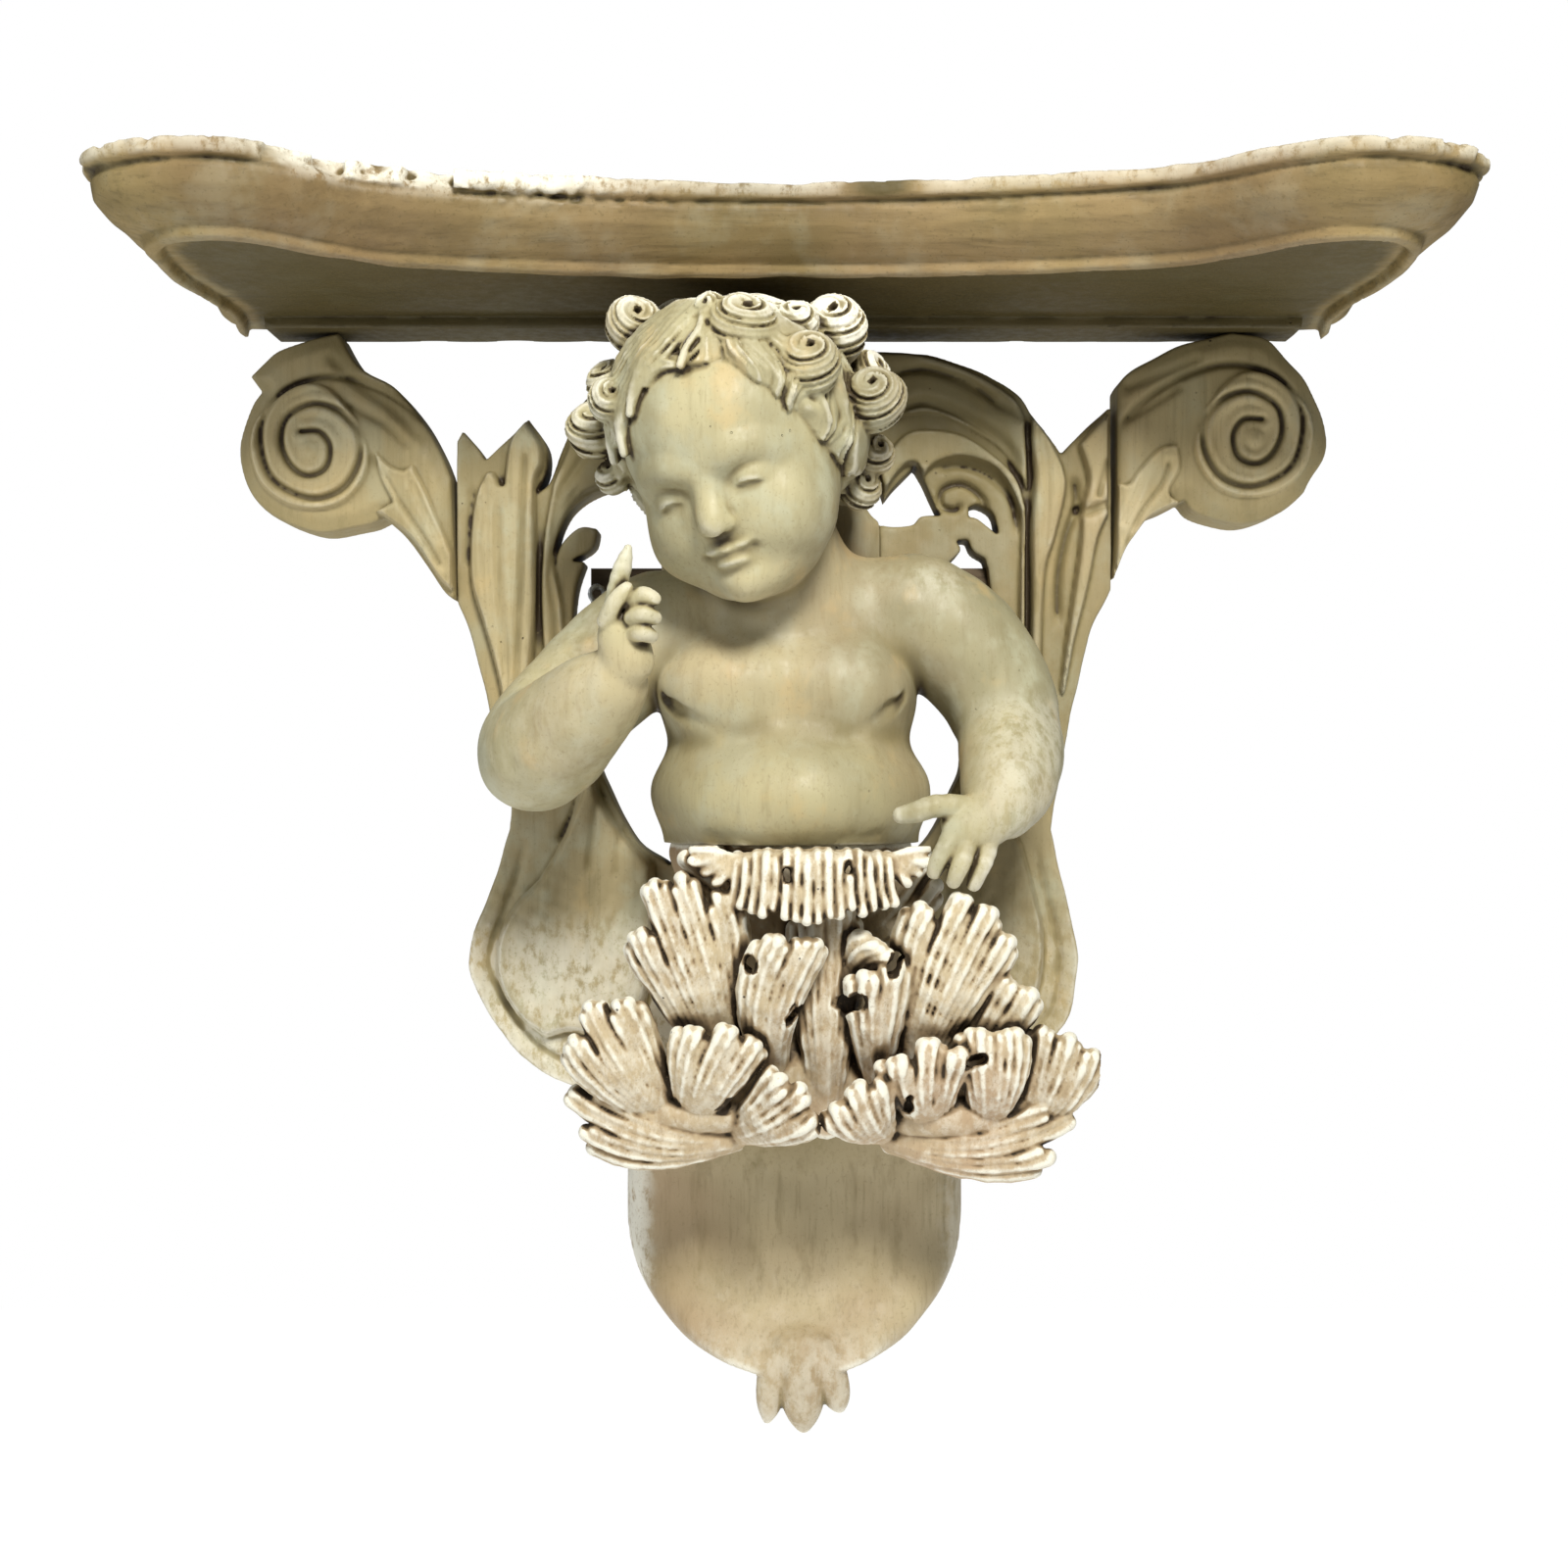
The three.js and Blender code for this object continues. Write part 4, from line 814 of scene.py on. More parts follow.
# Ringlets: place, radius, the way that their open end faces, and which way they wind
RINGLETS = [
    ((-88, 114, 309), 18, (0.3, 0.85, 0.45), 1), ((-43, 162, 303), 12, (-0.5, 0.75, 0.45), -1),
    ((-22, 167, 296), 22, (0.1, 0.62, 0.78), 1), ((14, 170, 275), 19, (-0.05, 0.82, 0.57), -1),
    ((28, 120, 307), 21, (-0.1, 0.8, 0.6), 1), ((50, 134, 262), 20, (-0.1, 0.85, 0.52), -1),
    ((-98, 148, 256), 14, (0.1, 0.93, 0.35), -1), ((-112, 102, 251), 18, (-0.1, 0.7, 0.7), 1),
    ((-104, 94, 222), 12, (-0.3, 0.75, 0.5), -1), ((-106, 90, 280), 16, (-0.5, 0.45, 0.7), 1),
    ((48, 88, 216), 14, (0.35, 0.85, 0.3), 1), ((56, 90, 236), 14, (0.3, 0.85, 0.4), -1),
    ((36, 104, 226), 10, (0.3, 0.9, 0.2), 1), ((6, 142, 303), 15, (0.05, 0.75, 0.65), -1),
    ((-66, 84, 318), 17, (-0.2, 0.5, 0.85), 1), ((-8, 80, 318), 18, (0, 0.2, 0.98), -1),
    ((54, 84, 284), 18, (0.7, 0.5, 0.55), 1),
    ((24, 60, 316), 16, (0.4, -0.3, 0.85), 1), ((-94, 42, 266), 18, (-0.8, -0.5, 0.3), -1),
    ((-88, 38, 228), 17, (-0.8, -0.5, -0.1), 1), ((48, 38, 262), 18, (0.8, -0.5, 0.3), -1),
    ((46, 36, 226), 17, (0.8, -0.5, -0.1), 1), ((-58, 32, 304), 18, (-0.4, -0.6, 0.7), -1),
    ((-18, 30, 310), 18, (0.1, -0.7, 0.7), 1),
]
# Locks that lie over the rest: places along them as turn and rise, and the width
FRINGE = [
    ([(22, 72), (0, 57), (-22, 38), (-34, 21), (-36, 5)], 17),
    ([(12, 74), (-20, 58), (-42, 38), (-51, 21), (-53, 3)], 18),
    ([(0, 76), (-42, 58), (-62, 38), (-70, 16), (-72, -4)], 19),
    ([(30, 66), (12, 55), (-8, 44), (-20, 34), (-26, 20)], 13),
    ([(-30, 70), (-70, 50), (-84, 26), (-90, 0), (-90, -20)], 19),
    ([(30, 58), (24, 48), (14, 41), (8, 33)], 11),
    ([(34, 62), (42, 44), (46, 30), (50, 14)], 13),
    ([(46, 52), (58, 32), (64, 12), (68, -10)], 15),
    ([(60, 50), (74, 26), (80, 4), (80, -20)], 17),
]


def carve_trunk(field):
    def put(centre, half, blend, cut=False):
        field.apply(*egg(centre, half), blend, cut)

    put((4, 48, -20), (81, 60, 44), 0)
    put((4, 58, 30), (86, 68, 46), 26)
    put((2, 54, 90), (80, 58, 50), 26)
    put((6, 78, 26), (66, 54, 36), 22)
    put((-36, 84, 94), (40, 30, 29), 14)
    put((36, 82, 94), (38, 29, 28), 14)
    tube(field, np.array([[-58, 52, 132, 34], [2, 50, 146, 34], [70, 50, 140, 34]]), 22)
    tube(field, np.array([[-2, 56, 152, 42], [-9, 68, 180, 37], [-16, 80, 200, 36]]), 20)
    groove = [[2, 122, 132, 3], [0, 122, 104, 4], [0, 120, 76, 4]]
    tube(field, spline(groove, 6), 12, cut=True)
    for side, thick in ((-1, 1.0), (1, 0.45)):
        fold = [(70, 92, 88, 1.4), (54, 107.5, 70, 2.4), (32, 116, 63, 2.8), (8, 122, 68, 1.6)]
        tube(field, spline([[side * x, y, z, r * thick] for x, y, z, r in fold], 9), 8, cut=True)
    belt = [[-62, 106, 2, 2.2], [-20, 128, -1, 2.6], [26, 129, -1, 2.6], [68, 108, 3, 2.2]]
    tube(field, spline(belt, 10), 8, cut=True)


def carve_arms(field):
    def chain(rows, blend, first=None, steps=3):
        tube(field, spline(rows, steps * (len(rows) - 1) + 1), blend, first)

    chain([[84, 50, 142, 35], [110, 50, 122, 35], [131, 52, 94, 32], [138, 60, 70, 29]], 8, 14)
    chain([[138, 62, 68, 28.5], [138, 76, 54, 29.5], [133, 98, 36, 26], [127, 111, 24, 20]], 6, 3)
    chain([[-80, 52, 132, 35], [-108, 62, 106, 34.5], [-136, 82, 74, 33], [-149, 96, 56, 32]], 8, 14)
    chain([[-149, 98, 52, 32.5], [-134, 120, 62, 32], [-112, 143, 80, 26.5], [-96, 157, 93, 19]], 6, 3)


FINGERS_LOW = [
    [[104, 123, 22, 7.6], [88, 129, 23, 6.6], [77, 131, 20, 6.2], [68, 130, 18, 5.2]],
    [[99, 126, 8, 6.8], [93, 131, -2, 6.0], [89, 130, -9, 5.4], [87, 127, -15, 4.6]],
    [[107, 128, 4, 6.6], [103, 134, -7, 5.8], [100, 133, -14, 5.2], [98, 129, -20, 4.4]],
    [[118, 126, 2, 6.4], [115, 131, -9, 5.6], [112, 130, -16, 5.0], [110, 127, -22, 4.4]],
]
FINGERS_HIGH = [
    [[-94, 170, 130, 6.6], [-92, 176, 143, 5.6], [-89, 178, 155, 4.9], [-86, 178, 166, 2.4]],
    [[-84, 180, 136, 5.4], [-77, 186, 139, 4.8], [-71, 187, 137, 4.2]],
    [[-83, 182, 128, 5.4], [-76, 187, 129, 4.8], [-71, 184, 127, 4.2]],
    [[-82, 180, 119, 5.2], [-77, 184, 119, 4.6], [-73, 180, 117, 4.0]],
    [[-98, 177, 126, 5.4], [-92, 184, 136, 4.8], [-86, 186, 143, 3.8]],
]


def carve_hands(field):
    field.apply(*egg((112, 122, 13), (21, 13, 16)), 7)
    field.apply(*egg((106, 130, 8), (14, 6, 10)), 6)
    for finger in FINGERS_LOW:
        tube(field, spline(finger, 7), 1.2)
    field.apply(*egg((-89, 170, 118), (14.5, 12, 20)), 6)
    field.apply(*egg((-85, 170, 104), (13, 11, 13)), 5)
    for finger in FINGERS_HIGH:
        tube(field, spline(finger, 7), 1.2)


def build_figure():
    top = 343.0
    field = Field((-190, -2, -34), (176, 198, top), 1.1)
    carve_trunk(field)
    carve_arms(field)
    carve_hands(field)
    carve_face(field)
    carve_hair_cap(field)
    for angles, width in FRINGE:
        comb_lock(field, angles, width)
    for curl in RINGLETS:
        ringlet(field, *curl)
    x, forward, up = field.places()
    worn = waves(3, 26)
    field.value += 0.22 * worn(x, forward, up)
    field.cut_to(np.maximum(-forward, up - (SHELF_BOTTOM + 5.0 - WAIST) / FIGURE_SCALE))
    arm = (forward > 112) & (x > 60)
    field.value = np.where(arm, field.value, np.maximum(field.value, -up))

    eyes = np.array([ringlet_eye(*curl[:2]) for curl in RINGLETS])
    ways = np.array([curl[2] for curl in RINGLETS], float)
    ways /= np.linalg.norm(ways, axis=1)[:, None]

    def marks(world):
        x, y, z = world.T
        forearm = smooth_step(x, 92, 108) * smooth_step(-z, -62, -44)
        forearm += smooth_step(x, 108, 130) * smooth_step(-z, -90, -30)
        elbow = smooth_step(-x, 78, 112) * smooth_step(-y, 90, 130)
        # The top front of the hair and the top of the shoulder on the viewer's right are made paler: gesso
        # together with a painted highlight of glare
        head = (x + 25) * 0.24 + z - 233
        hair = smooth_step(head, 20, 56) * smooth_step(-y, 60, 120) * 0.85
        shoulder = np.exp(-((x - 92) / 24) ** 2 - ((z - 122) / 15) ** 2) * 0.55
        # A dark line at the waist joint; the figure is also made darker where it nears the board and over
        # the lower belly
        stain = np.exp(-((z - WAIST) / 6) ** 2) * 0.4 + smooth_step(y, -75, -40) * 0.5
        belly = (1 - smooth_step(z, 10, 60)) * (1 - smooth_step(x, 78, 96)) * (1 - smooth_step(-x, 78, 96))
        stain = stain + 0.22 * belly
        # Painted shade in the drilled eyes of the curls
        drilled = np.zeros(len(x))
        for eye, way, curl in zip(eyes, ways, RINGLETS):
            off = in_figure(world) - eye
            along = off @ way
            away = np.linalg.norm(off - along[:, None] * way, axis=1)
            radius = curl[1]
            drilled = np.maximum(drilled, (away < 0.14 * radius) * (np.abs(along) < 0.7 * radius) * 0.9)
        gesso = 0.16 * forearm + 0.18 * elbow + hair + 0.6 * shoulder
        return {"gesso": np.clip(gesso, 0, 1), "stain": np.clip(stain, 0, 1), "drilled": drilled}

    skin = carved_wood("figure_wood", (0.44, 0.39, 0.225), (0.27, 0.245, 0.145), grain=(60, 60, 6),
                       gesso=0.08, blush=0.2, rough=0.5, wear_and_edge_highlight=0.4, figure=0.8, dirt_and_shade=1.25, mottle=0.55,
                       worms=0.15)
    make_piece("putto_carving", field, "putto", skin, from_figure, 190000, marks)


# The acanthus, in the figure's places

LEAVES = [
    # base, middle, tip, half width, lobes
    ((-30, 80, -150), (-46, 140, -84), (-66, 124, -24), 31, 4),
    ((-6, 84, -150), (-20, 142, -97), (6, 134, -54), 17, 2),
    ((25, 84, -176), (25, 124, -100), (24, 106, -34), 17, 2),
    ((6, 78, -64), (-24, 108, -42), (-62, 110, -4), 15, 3),
    ((40, 78, -64), (66, 104, -46), (86, 98, -8), 15, 3),
    ((74, 80, -150), (84, 140, -84), (110, 124, -36), 30, 4),
    ((56, 84, -150), (52, 134, -105), (56, 128, -70), 14, 2),
    ((38, 84, -92), (40, 132, -62), (60, 126, -62), 12, 2),
    ((104, 80, -146), (122, 120, -112), (138, 114, -80), 14, 2),
    ((-22, 84, -176), (-78, 118, -186), (-124, 98, -150), 19, 3),
    ((-62, 84, -172), (-92, 134, -140), (-112, 116, -98), 24, 3),
    ((-56, 84, -174), (-52, 140, -138), (-32, 126, -106), 22, 3),
    ((-34, 84, -176), (-10, 134, -164), (10, 126, -144), 19, 3),
    ((58, 84, -176), (116, 116, -192), (168, 96, -164), 19, 3),
    ((90, 84, -176), (78, 138, -146), (84, 126, -116), 23, 3),
    ((122, 84, -176), (124, 136, -146), (122, 122, -108), 17, 2),
    ((142, 80, -176), (160, 120, -153), (168, 108, -112), 20, 3),
    ((64, 84, -178), (48, 136, -168), (42, 126, -142), 19, 3),
]


def carve_leaf(field, base, middle, tip, half, lobes, seed):
    """A leaf of fine flutes that fan out from its base into lobes, each with a swollen, curled end."""
    rng = np.random.default_rng(seed)
    base, middle, tip = (np.array(p, float) for p in (base, middle, tip))
    way = (tip - base) / np.linalg.norm(tip - base)
    side = np.cross(way, [0, 1.0, 0])
    side /= np.linalg.norm(side)
    count = max(6, round(2 * half / 4.5))
    spacing = 2 * half / (count - 1)
    tilts = rng.uniform(-0.05, 0.05, lobes)
    curls = rng.uniform(2.0, 8.0, lobes)
    for i in range(count):
        s = 2 * i / (count - 1) - 1
        lobe = min(int((s + 1) / 2 * lobes), lobes - 1)
        heart = (2 * lobe + 1) / lobes - 1
        local = (s - heart) * lobes
        end = 1.0 - 0.22 * heart * heart + tilts[lobe] - 0.06 * local * local
        end += rng.uniform(-0.015, 0.015)
        t = np.linspace(0, end, 13)
        shares = np.column_stack([(1 - t) ** 2, 2 * t * (1 - t), t ** 2])
        centre = shares[:, :1] * base + shares[:, 1:2] * middle + shares[:, 2:] * tip
        face = np.cross(side, np.gradient(centre, axis=0))
        face /= np.linalg.norm(face, axis=1)[:, None]
        if face[:6, 1].mean() < 0:
            face = -face
        late = smooth_step(t / end, 0.66, 1.0)
        place = s * (0.44 + 0.6 * smooth_step(t, 0.0, 0.8))
        place = place + 0.07 * heart * late - 0.03 * (s - heart) * late ** 2
        bow = -0.22 * half * s * s - 2.4 * local * local * smooth_step(t, 0.3, 0.8)
        bow = bow + curls[lobe] * late ** 2 * (1 - 0.4 * local * local)
        rows = centre + side * (place * half)[:, None] + face * bow[:, None]
        radius = spacing * (0.33 + 0.22 * smooth_step(t, 0, 0.8)) + 0.2 * (i % 2) + rng.uniform(-0.1, 0.15)
        radius = radius * (1 + 0.14 * late)
        tube(field, np.column_stack([rows, radius]), 0.35)
        behind = (rows - face * 4.1)[::2]
        tube(field, np.column_stack([behind, radius[::2] + 1.9]), 0.8)


def carve_collar(field):
    """The upright fluted collar at the waist, with a ragged lower edge and a small leaf at each end."""
    rng = np.random.default_rng(5)
    for i, x in enumerate(np.linspace(-27, 60, 16)):
        off = (x - 17) / 43
        ahead = 140 - 15 * off * off + 0.8 * (i % 2)
        top = -3.6 - 1.6 * (i % 3 == 1) - 3 * off * off
        foot = -33 - 7 * math.cos(1.5 * off) + rng.uniform(-1.6, 1.6) + (5 if i in (4, 11) else 0)
        rows = [[x, ahead - 9, top, 3.3], [x, ahead + 2, top - 2, 3.3], [x, ahead + 6, -14, 3.2],
                [x + 1.5 * off, ahead + 4, -26, 3.1], [x + 4 * off, ahead + 3, foot, 3.1]]
        tube(field, spline(rows, 13), 0.5)
        behind = np.array(rows)
        behind[:, 1] -= 4
        behind[:, 3] = 3.6
        tube(field, behind, 2)
    for way, x, reach in ((-1, -28, 24), (1, 62, 20)):
        for step, (rise, out) in enumerate(((2, 1.0), (-5, 1.0), (-11, 0.75), (-17, 0.45))):
            rows = [[x, 124, -8, 3.4], [x + way * reach * 0.5 * out, 128, -5 + 0.6 * rise, 3.4],
                    [x + way * reach * out, 124 + 2 * (step % 2), rise - 4, 3.8]]
            tube(field, spline(rows, 7), 1.2)


# Drilled eyes and slots of the foliage: x, up, half width, where they start, length and lean
DRILLED = [
    (-19, -68, 3.6, 104, 4, 70), (5, -98, 2.4, 112, 8, 60), (39, -92, 5.6, 108, 8, 20),
    (6, -125, 1.8, 118, 2, 60), (39, -123, 1.9, 118, 1, 0), (-35, -154, 2.2, 112, 10, 55),
    (64, -68, 3.6, 100, 8, 60), (111, -125, 3.4, 104, 7, 20), (2, -16, 2.4, 122, 4, 95),
    (37, -12, 2.0, 122, 3, 80), (73, -151, 1.8, 108, 8, 95),
]


def drill_gap(number, x, up):
    """Distance, seen from the front, to one of the drilled eyes, whose sides are uneven."""
    cx, cup, half, _, length, lean = DRILLED[number]
    way = np.array([math.cos(math.radians(lean)), math.sin(math.radians(lean))])
    along = np.clip((x - cx) * way[0] + (up - cup) * way[1], -length / 2, length / 2)
    return np.hypot(x - cx - along * way[0], up - cup - along * way[1]) - half


def build_acanthus():
    field = Field((-142, -2, -212), (186, 176, 2), 1.08)
    for centre, half, blend in (
        ((4, 46, -6), (75, 64, 46), 0),
        ((6, 36, -70), (66, 56, 60), 26),
        ((12, 38, -140), (70, 60, 44), 26),
        ((-56, 62, -160), (62, 46, 20), 14),
        ((104, 62, -162), (62, 46, 22), 14),
    ):
        field.apply(*egg(centre, half), blend)
    for number, leaf in enumerate(LEAVES):
        carve_leaf(field, *leaf, seed=40 + number)
    carve_collar(field)
    uneven = waves(71, 9)
    for number, (cx, cup, half, start, length, _) in enumerate(DRILLED):
        def drill(x, forward, up, number=number, start=start):
            return np.maximum(drill_gap(number, x, up) + 0.8 * uneven(x, forward, up), start - forward)

        far = half + length
        field.apply(drill, (cx - far, start - 2, cup - far), (cx + far, 174, cup + far), 1.0, cut=True)
    x, forward, up = field.places()
    field.value += 0.25 * waves(11, 14)(x, forward, up)
    pendant_top = (BOARD_FOOT + 2 - WAIST) / FIGURE_SCALE
    pendant_front = (PENDANT_TOP_DEPTH + 0.6 - FIGURE_BACK) / FIGURE_SCALE
    pendant = np.maximum(up - pendant_top, forward - pendant_front)
    field.cut_to(np.maximum(up + JOINT_GAP, -forward))
    field.cut_to(-pendant)

    def marks(world):
        x, forward, up = in_figure(world).T
        front = smooth_step(forward, 70, 120)
        block = 1 - smooth_step(forward, 60, 92)
        # Painted shade in the drilled eyes and slots of the foliage
        drilled = np.zeros(len(x))
        for number, (_, _, _, start, _, _) in enumerate(DRILLED):
            near = 1 - smooth_step(drill_gap(number, x, up) + 0.8 * uneven(x, forward, up), -0.3, 0.9)
            drilled = np.maximum(drilled, near * (forward > start - 10) * 0.97)
        return {"gesso": 0.3 * front, "stain": 0.3 * block, "drilled": drilled}

    leaf = carved_wood("acanthus_wood", (0.5, 0.41, 0.26), (0.35, 0.255, 0.145), dark=(0.21, 0.14, 0.07),
                       grain=(60, 60, 14), gesso=0.2, grime_and_shade=1.1, blush=0.45, rough=0.7, wear_and_edge_highlight=0.75, figure=0.7,
                       dirt_and_shade=1.3)
    make_piece("acanthus_carving", field, "acanthus", leaf, from_figure, 190000, marks)


# The board and the volutes: carved from the front, so a height over each place says it all

def relief_field(low, high, cell, edge, height):
    """A carved plank: an outline's distance and a height over a flat grid become a solid."""
    field = Field((low[0], -3, low[1]), (high[0], BOARD_FRONT + 2.5, high[1]), cell)
    x, forward, z = field.places()
    flat_edge, flat_height = edge(x, z), height(x, z)
    steep = np.sqrt(1 + sum(g * g for g in np.gradient(flat_height[:, 0, :], cell)))[:, None, :]
    front = (forward - flat_height) / steep
    field.value = smooth_max(front, flat_edge, 3.2).astype(np.float32)
    field.cut_to(-forward)
    return field


def raise_within(height, inside, top, edge):
    """Lifts the height to a new level inside an outline, over a rounded edge of a given width."""
    share = np.clip(-inside / (0.62 * edge), 0, 1)
    lift = np.sin(share * math.pi / 2)
    return np.maximum(height, height + (top - height) * lift)


BOARD_RUNS = [
    [[0, 284], [52, 284], [90, 283], [128, 271], [154, 256], [163, 243]],
    [[163, 243], [177, 224], [182, 216]],
    [[182, 216], [196, 231], [213, 247]],
    [[SEAM_X, 247]],
    [[SEAM_X, 128]],
    [[SEAM_X, 128], [203, 104], [198, 87], [188, 43], [181, 4], [175, -30]],
    [[175, -30], [182, -60], [191, -98], [193, -122], [185, -158], [153, -185], [104, -209]],
    [[-96, -209]],
    [[-96, -209], [-133, -201], [-173, -179], [-203, -134], [-206, -105], [-189, -59], [-181, -30]],
    [[-181, -30], [-181, -5], [-194, 50], [-207, 100], [-SEAM_X, 119]],
    [[-SEAM_X, 225]],
    [[-211, 232]],
    [[-211, 232], [-204, 224], [-196, 213]],
    [[-196, 213], [-182, 227], [-168, 240]],
    [[-168, 240], [-157, 222], [-156, 206], [-162, 192]],
    [[-162, 192], [-154, 198], [-146, 219], [-131, 252], [-100, 276], [-52, 284], [0, 284]],
]
HOLES = [
    [
        [[63, 222], [69, 217], [61, 205], [66, 187]],
        [[66, 187], [74, 197], [86, 209]],
        [[86, 209], [93, 196], [102, 177]],
        [[102, 177], [90, 176], [84, 170], [70, 169], [58, 174], [51, 188], [56, 203], [54, 212], [63, 222]],
    ],
    [
        [[121, 182], [128, 184], [137, 178], [140, 165]],
        [[140, 165], [127, 174], [121, 175]],
        [[121, 182]],
    ],
    [
        [[113, 160], [116, 153], [106, 143]],
        [[80, 132], [84, 96]],
        [[84, 96], [112, 88], [136, 96], [134, 141]],
        [[132, 148], [124, 153], [121, 161]],
        [[113, 160]],
    ],
    [
        [[-151, 151], [-145, 171], [-138, 182], [-123, 192], [-104, 198]],
        [[-84, 190], [-84, 100], [-139, 94]],
        [[-139, 94], [-139, 109], [-136, 131], [-131, 146]],
        [[-138, 147]],
        [[-138, 147], [-126, 156], [-123, 167]],
        [[-123, 167], [-134, 168], [-144, 161], [-151, 151]],
    ],
    [
        [[74, 68], [104, 70], [116, 40], [117, 14], [110, -5], [96, -34], [74, -54]],
        [[74, 68]],
    ],
    [
        [[-74, 68], [-104, 70], [-124, 40], [-122, 14], [-112, -10], [-96, -38], [-74, -54]],
        [[-74, 68]],
    ],
]
# Raised parts of the board: outline, top level, width of the rounded edge
RAISED = [
    ([[[20, 282], [60, 283], [92, 281], [126, 269], [150, 254], [158, 242]],
      [[158, 242], [160, 215], [160, 190]],
      [[160, 190], [148, 211], [135, 224], [112, 237], [94, 243], [70, 240], [20, 238]]], 34, 5),
    ([[[-20, 282], [-52, 283], [-98, 275], [-128, 251], [-144, 217], [-152, 196]],
      [[-152, 196], [-158, 160], [-160, 120], [-156, 60]],
      [[-143, 62]],
      [[-143, 62], [-144, 110], [-150, 152], [-136, 186], [-104, 201], [-70, 222], [-20, 238]]], 34, 5),
    ([[[66, 190], [61, 205], [69, 219], [82, 231], [102, 232], [121, 227], [142, 212], [153, 199],
       [159, 180]],
      [[158, 30]],
      [[152, 30]],
      [[154, 140], [155, 171], [151, 185], [143, 200], [132, 209], [115, 213], [100, 209], [91, 200]],
      [[91, 200], [84, 209], [76, 204], [66, 190]]], 36, 5),
    ([[[162, 242], [170, 232], [177, 221], [184, 205], [185, 190], [178, 160], [171, 130], [168, 20]],
      [[168, 20], [156, 10]],
      [[156, 10], [160, 100], [160, 170], [162, 200], [160, 224], [162, 242]]], 39.6, 7),
    ([[[213, 244], [204, 236], [192, 222]],
      [[192, 222], [198, 200], [194, 178], [192, 150], [186, 110], [180, 60]],
      [[184, 58]],
      [[190, 90], [200, 130], [206, 160], [213, 176]],
      [[213, 244]]], 37, 6),
    ([[[-169, 239], [-158, 222], [-157, 208], [-162, 190], [-161, 120], [-166, 60], [-170, 20]],
      [[-184, 20]],
      [[-184, 20], [-186, 60], [-196, 100], [-205, 130], [-206, 160], [-203, 186], [-196, 203], [-190, 205]],
      [[-184, 196]],
      [[-184, 196], [-180, 224], [-169, 239]]], 39.6, 7),
    ([[[122, 34], [128, 0], [146, -24], [156, -38]],
      [[156, -38], [165, -70], [171, -100], [168, -134], [156, -154], [138, -163], [96, -164]],
      [[96, -164], [88, -110], [86, -54]],
      [[86, -54], [104, -34], [118, -4], [122, 34]]], 39.6, 10),
    ([[[-127, 30], [-140, -20], [-149, -42], [-161, -62]],
      [[-161, -62], [-178, -80], [-188, -102], [-188, -128], [-175, -152], [-156, -167]],
      [[-156, -167], [-140, -163], [-128, -166], [-96, -176]],
      [[-96, -176], [-84, -110], [-84, -52]],
      [[-84, -52], [-104, -32], [-120, -4], [-127, 30]]], 39.6, 10),
]
# Cut lines and ridges of the board: points, half width, depth (negative for a ridge)
TOOLED = [
    ([[158, 236], [150, 244], [126, 258], [96, 270], [60, 272]], 3.5, 2.2),
    ([[146, 241], [125, 261], [107, 268], [88, 271.5], [56, 263]], 2.4, 2.6),
    ([[155, 200], [146, 220], [127, 235], [108, 245], [88, 249.5], [66, 240]], 4.2, 6.0),
    ([[154, 160], [150, 184], [142, 196], [130, 205], [114, 209], [98, 206]], 2.6, 4.0),
    ([[136, 176], [128, 190], [116, 197], [104, 193], [103, 183], [112, 180], [118, 186]], 2.6, 5.0),
    ([[164, 236], [170, 214], [171, 180], [167, 120], [164, 40]], 2.2, 1.6),
    ([[190, 205], [192, 184], [185, 162], [180, 135], [180, 100]], 3.0, 5.0),
    ([[213, 184], [206, 181], [196, 178], [192, 184]], 3.4, 5.0),
    ([[212, 214], [208, 196], [205, 186]], 2.4, 3.6),
    ([[-150, 200], [-140, 226], [-124, 250], [-100, 264], [-60, 270]], 3.4, 2.2),
    ([[-154, 150], [-148, 184], [-138, 204], [-122, 222], [-90, 240]], 3.0, 2.6),
    ([[-149, 70], [-150, 110], [-153, 140], [-146, 176], [-130, 198]], 2.6, 3.0),
    ([[-168, 226], [-170, 180], [-172, 120], [-176, 40]], 2.4, 3.2),
    ([[-186, 190], [-186, 150], [-184, 110], [-180, 50]], 3.0, 3.0),
    ([[-204, 196], [-206, 170], [-208, 140]], 3.0, 2.6),
    ([[-196, 205], [-194, 180], [-194, 140], [-188, 80]], 2.2, 1.8),
    ([[-150, -40], [-134, -10], [-122, 30]], 3.2, 3.0),
    ([[-128, -60], [-122, -20], [-118, 20]], 3.2, 2.6),
    ([[-110, -64], [-106, -34], [-100, -20]], 3.0, 2.2),
    ([[140, -30], [128, -6], [122, 24]], 2.6, 2.4),
]


def tooled_height(height, x, z, lines):
    for points, half, depth in lines:
        curve = spline(points, 4 * len(points))
        gap, along = line_distance(curve, x, z)
        ends = smooth_step(along, 0, 0.12) * smooth_step(1 - along, 0, 0.12)
        height = height - depth * ends * np.exp(-(gap / half) ** 2)
    return height


